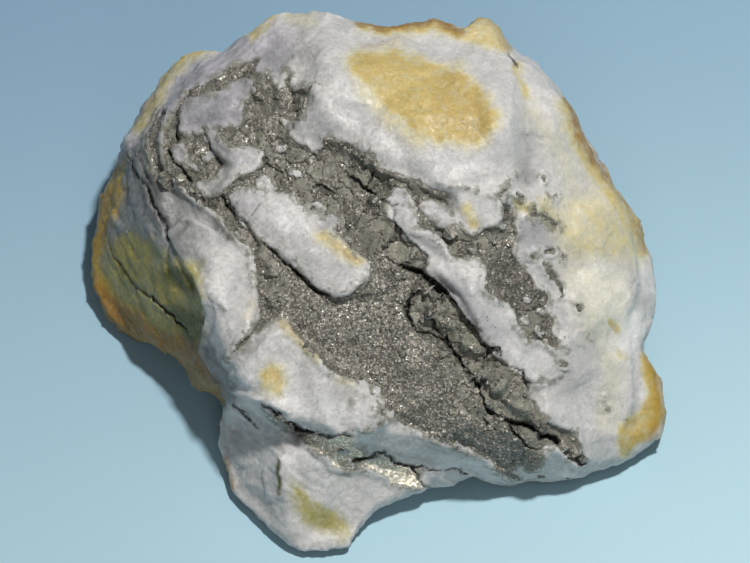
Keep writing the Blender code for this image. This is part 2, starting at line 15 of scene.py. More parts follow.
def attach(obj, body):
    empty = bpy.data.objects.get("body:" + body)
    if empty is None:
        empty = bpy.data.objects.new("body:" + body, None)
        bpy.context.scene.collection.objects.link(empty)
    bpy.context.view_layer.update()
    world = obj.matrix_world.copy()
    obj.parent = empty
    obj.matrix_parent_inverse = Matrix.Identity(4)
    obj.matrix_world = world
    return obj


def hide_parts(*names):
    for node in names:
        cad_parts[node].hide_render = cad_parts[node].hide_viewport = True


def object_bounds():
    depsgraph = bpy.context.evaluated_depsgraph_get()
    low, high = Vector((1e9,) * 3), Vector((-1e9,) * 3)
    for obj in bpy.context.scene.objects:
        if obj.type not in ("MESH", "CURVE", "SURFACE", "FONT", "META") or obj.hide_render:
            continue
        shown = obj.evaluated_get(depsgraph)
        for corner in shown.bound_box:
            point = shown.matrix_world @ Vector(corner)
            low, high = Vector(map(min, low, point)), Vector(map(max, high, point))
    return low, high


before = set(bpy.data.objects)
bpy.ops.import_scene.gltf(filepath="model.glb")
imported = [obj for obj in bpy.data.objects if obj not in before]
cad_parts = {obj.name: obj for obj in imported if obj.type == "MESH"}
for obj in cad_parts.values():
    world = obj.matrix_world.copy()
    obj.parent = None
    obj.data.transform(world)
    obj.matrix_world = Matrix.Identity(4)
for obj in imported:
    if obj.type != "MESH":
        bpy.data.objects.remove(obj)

cad_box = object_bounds()

bl_info = {
    "name": "Arsenopyrite with quartz",
    "version": (1, 0, 0),
    "blender": (4, 5, 0),
    "location": "View3D > Sidebar > Specimen",
    "description": "Builds a hand specimen of arsenopyrite in milky quartz",
    "category": "Object",
}

MM = 0.001
QUARTZ_NODE = "quartz_matrix"
SEAM_NODE = "arsenopyrite_seam"
LOWER_NODE = "arsenopyrite_lower_seam"

# The broken face leans back from upright. Marks are laid out on a grid in the plane of the face:
# one square is GRID_SQUARE mm, counted to the right and down from the grid's corner.
FACE_LEAN = math.radians(60)
FACE_LEVEL = 25.0  # mm from the origin to the face's level, out along its normal
FACE_DEPTH = 20.0  # mm: what lies further under the face's level isn't part of it
FACE_MIDDLE = 8.06  # mm up the face from the origin to the grid's centre
FACE_SIDE = -0.18  # mm to the right from the origin to the grid's centre
GRID_SQUARE = 0.19
GRID_CENTRE = (375.0, 281.5)  # squares from the grid's corner
SIGHT_DISTANCE = 1600.0  # mm: places over the face's level are spread as seen from here
REACH = 30.0  # squares: distances on the face are worked out up to here
CLEFT_REACH = 14  # squares beside a cleft's stretch in which it is worked out
CLEFT_DEEPEST = 2.4  # mm
DEEP_IN_SOLID = 6.0  # mm: distances from the ore's border are worked out up to here
NOT_NEAR = -9.0  # mm: stands for a place that is far from every speck
MERGE_DISTANCE = 1e-6  # metres: closer corners of a solid are one
BOX_SPARE = 0.008  # share of the solids' box by which the relief may pass it
FACE_OUT = np.array([0.0, -math.cos(FACE_LEAN), math.sin(FACE_LEAN)])

# Turned this far towards the face (1 is square to it, 0 edge on), a surface begins to take part in
# something, and does so fully: the ore's outlines, the stains, the relief and clefts, the calmer face
OUTLINE_TURN = (0.05, 0.3)
STAIN_TURN = (-0.3, -0.08)
RELIEF_TURN = (-0.1, 0.2)
CALM_TURN = (0.0, 0.6)
HIDDEN_TURN = -0.12  # below it the quartz's faces are thinned out

# Seeds of the random patterns; where a shift has several, there is one for each direction
BORDER_SEED = 101
CRUMB_SEED = 131
CLEFT_SEEDS = (161, 166)
STAIN_SEEDS = (201, 211)
STAIN_RIM_SEEDS = (221, 231)
WORN_CRUST_SEED = 241
WORN_OCHRE_SEED = 251
FLANK_LUMP_SEED = 281
QUARTZ_LUMP_SEED = 301
QUARTZ_BEND_SEEDS = (311, 321, 331)
QUARTZ_FLAT_SEED = 341
QUARTZ_CHIP_SEED = 351
QUARTZ_GRIT_SEED = 361
SHEET_SEED = 371
ORE_BEND_SEEDS = (381, 386, 391)
ORE_COARSE_SEED = 401
ORE_SPLIT_SEED = 431
ORE_DULL_SEED = 437
ORE_TONE_SEED = 439
ORE_MIDDLE_SEED = 441
ORE_SMALL_SEED = 471
ORE_LUMP_SEED = 491
ORE_TINT_SEED = 501
CRYSTAL_SEED = 607
FORM_SEED = 700
SCATTER_SEED = 811

# Outlines of the ore in the broken face, and of the quartz inside them
MAIN_ORE = [
    (168, 113), (176, 104), (183, 96), (188, 87), (198, 86), (208, 80), (218, 75), (226, 68),
    (234, 63), (241, 62), (248, 60), (256, 58), (262, 60), (260, 66), (258, 72), (266, 71), (271, 74),
    (275, 80), (279, 86), (282, 84), (284, 76), (286, 70), (290, 64), (294, 60), (292, 68), (294, 76),
    (292, 82), (296, 88), (305, 86), (312, 84), (320, 87), (316, 91), (311, 95), (311, 103),
    (309, 110), (304, 116), (304, 122), (297, 124), (290, 126), (291, 132), (294, 139), (300, 142),
    (307, 146), (312, 150), (318, 148), (322, 143), (324, 136), (331, 135), (340, 138), (350, 140),
    (358, 144), (361, 152), (366, 150), (372, 151), (379, 152), (378, 160), (382, 166), (390, 170),
    (400, 172), (408, 176), (418, 179), (426, 183), (434, 187), (442, 188), (449, 188), (452, 194),
    (450, 200), (453, 208), (454, 215), (457, 222), (462, 227), (468, 231), (473, 234), (479, 231),
    (484, 226), (490, 224), (496, 222), (499, 216), (499, 208), (498, 202), (494, 198), (490, 195),
    (494, 192), (500, 190), (504, 186), (507, 179), (513, 174), (518, 172), (515, 178), (511, 183),
    (509, 190), (505, 196), (504, 201), (512, 203), (514, 208), (514, 214), (519, 217), (526, 214),
    (530, 210), (530, 204), (536, 202), (541, 204), (538, 210), (545, 212), (552, 216), (560, 222),
    (560, 230), (556, 234), (551, 229), (546, 224), (540, 220), (526, 218), (520, 219), (517, 225),
    (519, 233), (517, 241), (516, 255), (520, 262), (526, 268), (531, 274), (535, 280), (537, 285),
    (546, 291), (551, 296), (549, 302), (546, 306), (549, 312), (555, 318), (556, 326), (555, 334),
    (560, 342), (561, 348), (555, 352), (549, 350), (544, 346), (537, 343), (532, 342), (529, 348),
    (525, 342), (521, 333), (516, 325), (513, 317), (511, 309), (505, 305), (498, 303), (491, 299),
    (485, 293), (481, 288), (482, 280), (484, 272), (482, 266), (478, 262), (460, 262), (451, 259),
    (447, 255), (445, 248), (441, 243), (437, 238), (430, 235), (424, 232), (417, 228), (415, 220),
    (417, 215), (415, 209), (411, 203), (408, 196), (404, 190), (398, 190), (392, 198), (388, 204),
    (386, 210), (390, 216), (397, 220), (402, 226), (408, 230), (412, 236), (415, 241), (420, 247),
    (425, 252), (429, 258), (428, 264), (428, 271), (434, 277), (440, 283), (447, 289), (453, 295),
    (459, 300), (463, 306), (468, 312), (473, 318), (479, 325), (483, 332), (487, 338), (493, 344),
    (499, 345), (504, 350), (503, 356), (507, 361), (511, 365), (518, 369), (523, 374), (527, 380),
    (536, 379), (546, 380), (551, 382), (545, 385), (535, 385), (527, 387), (524, 391), (530, 395),
    (536, 400), (540, 407), (546, 412), (549, 419), (556, 423), (564, 426), (572, 429), (577, 433),
    (579, 440), (582, 446), (584, 453), (587, 459), (582, 463), (574, 463), (566, 458), (560, 452),
    (552, 449), (546, 448), (545, 455), (544, 462), (540, 468), (533, 471), (526, 469), (519, 466),
    (515, 470), (521, 474), (521, 479), (514, 480), (506, 478), (499, 475), (494, 470), (490, 464),
    (484, 459), (478, 457), (472, 454), (466, 451), (460, 448), (452, 447), (445, 445), (438, 441),
    (430, 439), (420, 436), (412, 432), (405, 428), (398, 424), (392, 420), (385, 418), (378, 416),
    (373, 413), (378, 408), (383, 404), (384, 400), (378, 397), (371, 399), (367, 396), (366, 388),
    (364, 382), (360, 384), (357, 388), (354, 385), (349, 381), (342, 379), (335, 377), (327, 372),
    (322, 366), (318, 360), (312, 355), (306, 350), (301, 344), (295, 336), (290, 330), (284, 322),
    (279, 320), (274, 322), (268, 326), (263, 332), (258, 337), (252, 341), (251, 345), (244, 349),
    (238, 352), (232, 357), (226, 363), (224, 359), (229, 353), (233, 347), (237, 341), (243, 335),
    (249, 330), (253, 324), (257, 318), (255, 310), (256, 300), (254, 290), (253, 280), (252, 270),
    (251, 260), (248, 251), (240, 243), (232, 237), (226, 232), (222, 225), (219, 219), (213, 214),
    (206, 210), (199, 205), (192, 199), (186, 194), (180, 188), (174, 181), (168, 177), (163, 171),
    (161, 160), (160, 148), (161, 136), (163, 124),
]
LOWER_ORE = [
    (262, 409), (270, 412), (278, 418), (285, 424), (292, 427), (299, 430), (306, 432), (314, 430),
    (322, 434), (330, 435), (340, 433), (348, 432), (353, 434), (353, 440), (359, 446), (364, 449),
    (366, 454), (371, 459), (378, 455), (385, 455), (391, 459), (396, 463), (404, 465), (412, 468),
    (419, 470), (418, 480), (423, 487), (417, 489), (409, 486), (402, 488), (394, 486), (388, 483),
    (384, 477), (375, 473), (367, 471), (357, 470), (348, 471), (341, 471), (334, 469), (328, 467),
    (327, 460), (324, 455), (317, 455), (312, 450), (307, 445), (300, 440), (293, 436), (285, 432),
    (277, 426), (269, 418),
]

QUARTZ_OUTLINES = [
    [(181, 130), (181, 118), (184, 110), (190, 104), (196, 100), (203, 96), (212, 95), (221, 93),
     (230, 88), (238, 82), (244, 80), (250, 82), (247, 88), (248, 97), (244, 101), (241, 106),
     (240, 114), (240, 122), (236, 125), (228, 126), (219, 125), (210, 126), (204, 128), (200, 131),
     (194, 131), (188, 132), (184, 131)],
    [(205, 131), (209, 129), (213, 133), (217, 138), (221, 142), (226, 147), (231, 150), (237, 150),
     (244, 151), (250, 152), (257, 152), (261, 154), (260, 161), (257, 166), (251, 170), (246, 172),
     (240, 174), (235, 178), (231, 182), (226, 186), (222, 190), (217, 193), (211, 196), (205, 195),
     (201, 190), (198, 184), (203, 181), (211, 182), (216, 181), (220, 176), (223, 171), (227, 165),
     (229, 160), (224, 157), (219, 153), (215, 149), (211, 143), (207, 137)],
    [(176, 147), (181, 146), (184, 152), (186, 158), (185, 164), (180, 162), (176, 157), (174, 152)],
    [(258, 183), (262, 179), (268, 181), (271, 187), (268, 191), (262, 190)],
    [(232, 197), (236, 192), (243, 190), (252, 190), (260, 193), (264, 197), (270, 196), (278, 196),
     (285, 197), (291, 197), (295, 201), (299, 207), (303, 212), (308, 215), (315, 215), (322, 217),
     (330, 217), (337, 220), (338, 225), (331, 228), (327, 232), (333, 234), (339, 238), (343, 243),
     (348, 249), (353, 255), (358, 258), (363, 262), (367, 267), (366, 274), (364, 280), (358, 283),
     (353, 286), (348, 291), (341, 293), (334, 294), (328, 290), (321, 286), (315, 282), (309, 278),
     (304, 273), (301, 269), (295, 264), (288, 258), (282, 253), (278, 248), (271, 245), (264, 242),
     (259, 238), (255, 232), (252, 226), (248, 225), (244, 220), (240, 215), (240, 208), (236, 203)],
    [(421, 204), (428, 202), (436, 205), (443, 209), (448, 212), (451, 219), (455, 225), (450, 227),
     (444, 225), (437, 222), (430, 217), (424, 211)],
]

# Specks of ore in the quartz of the face: half width and middle line
ORE_SPECKS = [
    (6, [(162, 114), (155, 132), (154, 150), (158, 166), (170, 182)]), (2, [(148, 134), (146, 148)]),
    (1.5, [(150, 168), (158, 182)]),
    (3, [(542, 178), (543, 181)]), (2.2, [(517, 194), (521, 198)]), (2, [(556, 195), (557, 198)]),
    (2, [(548, 197), (552, 202)]), (3, [(530, 256), (534, 257)]), (2, [(536, 250), (540, 249)]),
    (4.4, [(547, 252), (553, 251)]), (4.4, [(548, 270), (554, 277)]), (3, [(543, 263), (550, 273)]),
    (2.6, [(556, 281), (561, 288), (563, 296)]), (1.4, [(562, 254), (563, 260)]),
    (2.5, [(576, 303), (579, 309)]), (1.2, [(566, 345), (567, 351)]), (3, [(560, 362), (565, 366)]),
    (1.6, [(552, 380), (559, 376)]), (1.3, [(564, 337), (566, 341)]), (2, [(604, 396), (605, 397)]),
    (1, [(607, 408), (607, 406)]), (1.2, [(471, 291), (472, 292)]), (1, [(590, 337), (591, 338)]),
    (1, [(447, 325), (448, 326)]), (1.4, [(460, 187), (468, 188)]), (1.2, [(468, 188), (477, 190)]),
    (1.2, [(380, 168), (388, 176)]), (1.2, [(376, 411), (370, 415)]), (1.5, [(352, 400), (354, 406)]),
    (1.6, [(375, 404), (379, 401)]), (1.2, [(371, 390), (372, 394)]),
    (1.4, [(363, 431), (372, 429), (378, 424), (386, 420)]), (1, [(222, 304), (226, 308)]),
    (1, [(532, 222), (533, 224)]),
]

# Specks of quartz in the ore of the face
QUARTZ_SPECKS = [
    (3, [(207, 158), (213, 154)]), (1.8, [(192, 165), (195, 168)]),
    (2.6, [(277, 149), (284, 149)]), (2, [(291, 172), (300, 174)]), (2.4, [(318, 205), (323, 208)]),
    (2, [(306, 204), (309, 206)]), (2.2, [(313, 222), (320, 225)]), (2, [(244, 261), (246, 263)]),
    (1.6, [(382, 286), (383, 287)]), (2.2, [(497, 352), (500, 355)]), (1.8, [(424, 240), (427, 246)]),
    (1.8, [(405, 236), (408, 240)]), (2, [(525, 299), (528, 300)]), (2, [(470, 249), (474, 251)]),
    (1.6, [(500, 226), (503, 226)]), (2, [(538, 310), (541, 312)]), (2.4, [(537, 330), (540, 334)]),
    (2, [(524, 318), (526, 322)]), (1.8, [(250, 86), (254, 90)]), (1.6, [(262, 64), (264, 67)]),
    (1.8, [(283, 120), (286, 124)]), (1.6, [(268, 186), (270, 188)]), (2.6, [(374, 388), (377, 391)]),
    (2, [(387, 412), (391, 414)]), (1.6, [(232, 345), (234, 343)]), (2, [(340, 452), (346, 450)]),
]

# Clefts and cracks of the face, as stations: x, y, half width
CLEFTS = [
    [(386, 258, 0.8), (398, 264, 1.2), (404, 267, 2), (412, 270, 2.6), (420, 273, 3.4), (428, 278, 4),
     (436, 283, 4.4), (444, 289, 3.6), (450, 296, 2), (456, 302, 1.4), (466, 313, 1.5), (478, 331, 1.6),
     (484, 339, 1.8), (489, 345, 1.8), (494, 348, 1.2), (499, 349, 0.8)],
    [(489, 345, 1.6), (487, 354, 1.2), (483, 364, 1)],
    [(484, 361, 0.8), (498, 362, 0.8), (508, 366, 0.8), (517, 369, 1.2), (522, 373, 1.8), (525, 381, 2),
     (526, 387, 1.2), (522, 396, 0.8)],
    [(430, 285, 2), (438, 290, 3), (442, 297, 2), (441, 304, 1)],
    [(420, 291, 1), (413, 295, 1.8), (409, 301, 2.2), (407, 308, 2.8), (408, 316, 2.6), (411, 324, 1.4),
     (416, 331, 1), (425, 334, 0.8), (436, 337, 1), (447, 341, 1.8)],
    [(432, 305, 1), (433, 316, 1.2), (434, 328, 1.4), (440, 336, 1.6)],
    [(446, 338, 1.8), (448, 345, 1.8), (453, 352, 2.2), (459, 358, 2.4), (462, 364, 2), (472, 376, 2),
     (476, 382, 1.8), (480, 390, 1.5), (485, 405, 1.6), (489, 412, 2), (496, 415, 2), (503, 418, 2.8),
     (508, 423, 3.4), (516, 424, 3), (524, 425, 2.6), (532, 428, 2.8), (540, 432, 3), (555, 440, 3),
     (560, 446, 2.8), (565, 452, 2.4), (572, 458, 2), (580, 462, 2), (586, 462, 1.4)],
    [(508, 423, 2), (512, 430, 1.5), (517, 436, 1.5), (523, 442, 1.2), (528, 447, 1), (536, 450, 0.8)],
    [(484, 420, 1), (490, 427, 1.4), (495, 430, 1)],
    [(262, 242, 1), (272, 250, 1.4), (280, 258, 1.4), (288, 265, 1.4), (296, 271, 1.8), (303, 277, 2.6),
     (309, 284, 3.4), (314, 289, 2.6), (320, 292, 1.5), (328, 294, 1)],
    [(262, 404, 0.8), (268, 407, 1.4), (274, 411, 2.4), (280, 415, 3), (288, 420, 3.2), (296, 426, 3),
     (303, 430, 2.4), (310, 431, 1.8), (318, 431, 1.8), (324, 434, 1.6), (330, 436, 1.4), (338, 434, 1),
     (344, 433, 1.2), (350, 434, 1)],
    [(353, 462, 1), (360, 459, 1.8), (366, 457, 2.2), (372, 456, 1.2), (378, 452, 1.2), (386, 453, 1.2),
     (390, 457, 1.5), (395, 461, 1.8), (402, 464, 1.8), (410, 465, 2.2), (416, 467, 1.8),
     (422, 465, 1), (430, 469, 0.9), (440, 470, 0.8), (452, 468, 0.8), (460, 470, 1), (467, 474, 1.2)],
    [(412, 467, 1.5), (417, 474, 1), (418, 480, 0.9), (424, 485, 1), (431, 489, 0.8)],
    [(128, 148, 0.8), (130, 156, 1), (132, 165, 1), (136, 174, 1.2), (142, 181, 1), (147, 188, 2),
     (150, 196, 2.5), (153, 203, 2.5), (158, 211, 1.5), (163, 220, 1.5), (167, 228, 2),
     (170, 236, 1.8), (171, 240, 0.8)],
    [(138, 152, 0.8), (141, 163, 0.8), (146, 174, 0.8), (151, 185, 0.8), (156, 196, 0.6)],
    [(180, 119, 1), (178, 128, 1.6), (177, 137, 1.6), (178, 145, 0.8)],
    [(169, 148, 0.8), (170, 156, 1.6), (174, 163, 1), (182, 167, 1), (187, 177, 2), (194, 185, 1.6),
     (199, 194, 1.6), (204, 202, 1)],
    [(204, 128, 1), (206, 136, 1.2), (210, 144, 1.6), (215, 152, 1), (218, 160, 0.7)],
    [(222, 197, 1.2), (226, 205, 1.8), (231, 211, 1), (242, 219, 1.6), (249, 226, 1), (256, 238, 0.8)],
    [(261, 201, 0.7), (256, 208, 0.7), (252, 215, 0.7)],
    [(234, 404, 0.8), (242, 412, 1.1), (250, 421, 1.1), (259, 429, 0.7)],
    [(268, 133, 0.7), (270, 142, 0.8), (273, 151, 0.6)],
    [(262, 160, 0.6), (271, 167, 1), (281, 173, 0.7)],
    [(318, 183, 0.8), (326, 188, 1.2), (333, 194, 0.7)],
    [(106, 240, 0.5), (114, 256, 0.8), (124, 270, 0.8), (133, 283, 0.9), (142, 292, 1.1), (151, 298, 1.5),
     (158, 302, 1.7), (165, 309, 1.3), (173, 315, 1.4), (180, 323, 1.2), (188, 332, 0.8)],
    [(509, 54, 0.8), (513, 60, 1.4), (517, 68, 0.9)],
    [(344, 172, 0.8), (356, 180, 1.4), (366, 190, 1.6), (380, 199, 1.2), (392, 206, 1), (404, 206, 0.8)],
    [(366, 190, 1), (372, 176, 1.2), (376, 168, 0.8)],
    [(392, 206, 1), (398, 222, 1), (394, 240, 1), (380, 252, 0.8)],
]

# Coarse crystals that stand in the ore: x, y, radius
LUMPS = [
    (424, 303, 9), (415, 318, 7), (426, 324, 8), (449, 311, 13), (439, 322, 9), (455, 331, 12),
    (471, 343, 12), (474, 355, 9), (476, 367, 8), (500, 392, 14), (513, 405, 14), (495, 402, 9),
    (518, 383, 7.5), (490, 383, 9), (489, 372, 9), (527, 413, 12), (540, 421, 10), (553, 429, 9),
    (505, 373, 10), (522, 431, 8), (533, 440, 10), (546, 446, 9), (571, 447, 12), (569, 432, 9),
    (534, 459, 13), (500, 431, 8), (492, 421, 7), (478, 412, 8), (472, 402, 9), (462, 393, 9),
    (452, 372, 11), (445, 360, 9), (385, 229, 15), (369, 241, 13), (365, 181, 12), (350, 178, 11),
    (392, 190, 13), (411, 236, 10), (432, 222, 10), (418, 247, 9), (399, 252, 10), (447, 252, 12),
    (330, 205, 10), (344, 196, 9), (262, 255, 10), (272, 268, 11),
    (282, 286, 9), (268, 290, 9), (420, 183, 12), (438, 190, 11), (450, 196, 8),
    (530, 322, 12), (300, 120, 11),
    (262, 108, 9), (258, 140, 9), (302, 186, 9),
]

# The finely granular part of the ore, the ledge of coarse crystals and a darker stretch
GRANULAR_FLAT = [
    (262, 250), (290, 272), (318, 292), (345, 290), (366, 268), (392, 262), (404, 285), (412, 325),
    (430, 345), (455, 360), (478, 392), (500, 412), (520, 440), (545, 462), (500, 478), (455, 455),
    (395, 430), (350, 385), (290, 322), (262, 318),
]
COARSE_LEDGE = [
    (402, 272), (440, 282), (470, 305), (498, 340), (520, 372), (545, 396), (575, 425), (590, 455),
    (570, 470), (540, 452), (508, 430), (486, 405), (462, 372), (440, 350), (412, 335), (402, 300),
]
DARK_ORE = [(486, 262), (516, 250), (540, 284), (562, 340), (545, 346), (515, 326)]

# Layered quartz: the direction of its sheets, in degrees from the across axis, and its outline
LAYERED_QUARTZ = [
    (43, [(122, 150), (124, 130), (150, 85), (190, 44), (262, 8), (330, 10), (330, 62), (270, 60),
          (245, 80), (190, 92), (172, 108), (150, 140)]),
    (-62, [(104, 175), (126, 140), (150, 140), (170, 190), (200, 225), (212, 262), (205, 320),
           (170, 330), (120, 290), (96, 240)]),
    (-35, [(225, 410), (250, 396), (300, 440), (340, 480), (300, 500), (240, 480)]),
    (-12, [(350, 440), (420, 436), (520, 470), (590, 462), (600, 480), (480, 490), (380, 470)]),
]

# Masses whose edges are crisp: lift of the edge in mm, its width in squares, outline
CRISP_MASSES = [
    (0.9, 5, [(170, 234), (186, 218), (212, 231), (233, 245), (249, 260), (254, 281), (251, 313),
              (243, 337), (228, 360), (214, 371), (201, 350), (209, 313), (199, 281)]),
    (0.75, 5, [(230, 369), (248, 349), (279, 321), (289, 326), (328, 365), (378, 406), (382, 425),
               (349, 439), (312, 431), (270, 405), (231, 390)]),
]

# Lines along which the quartz or the ore is raised, and the foot of the left flank
VEIN_MIDDLE = [(412, 228), (424, 238), (436, 247), (446, 252)]
VEIN_EDGE = [(404, 222), (414, 240), (430, 261), (445, 284), (462, 307), (478, 330), (490, 345)]
DOME_FOOT = [(308, 100), (308, 122), (330, 140), (362, 156), (404, 178), (444, 194)]
FLANK_FOOT = [(108, 326), (150, 349), (178, 360), (200, 382)]

# A patch of grey quartz at the right end of the ore
GREY_PATCH = [(520, 222), (536, 222), (552, 232), (556, 244), (545, 246), (528, 252), (519, 244)]

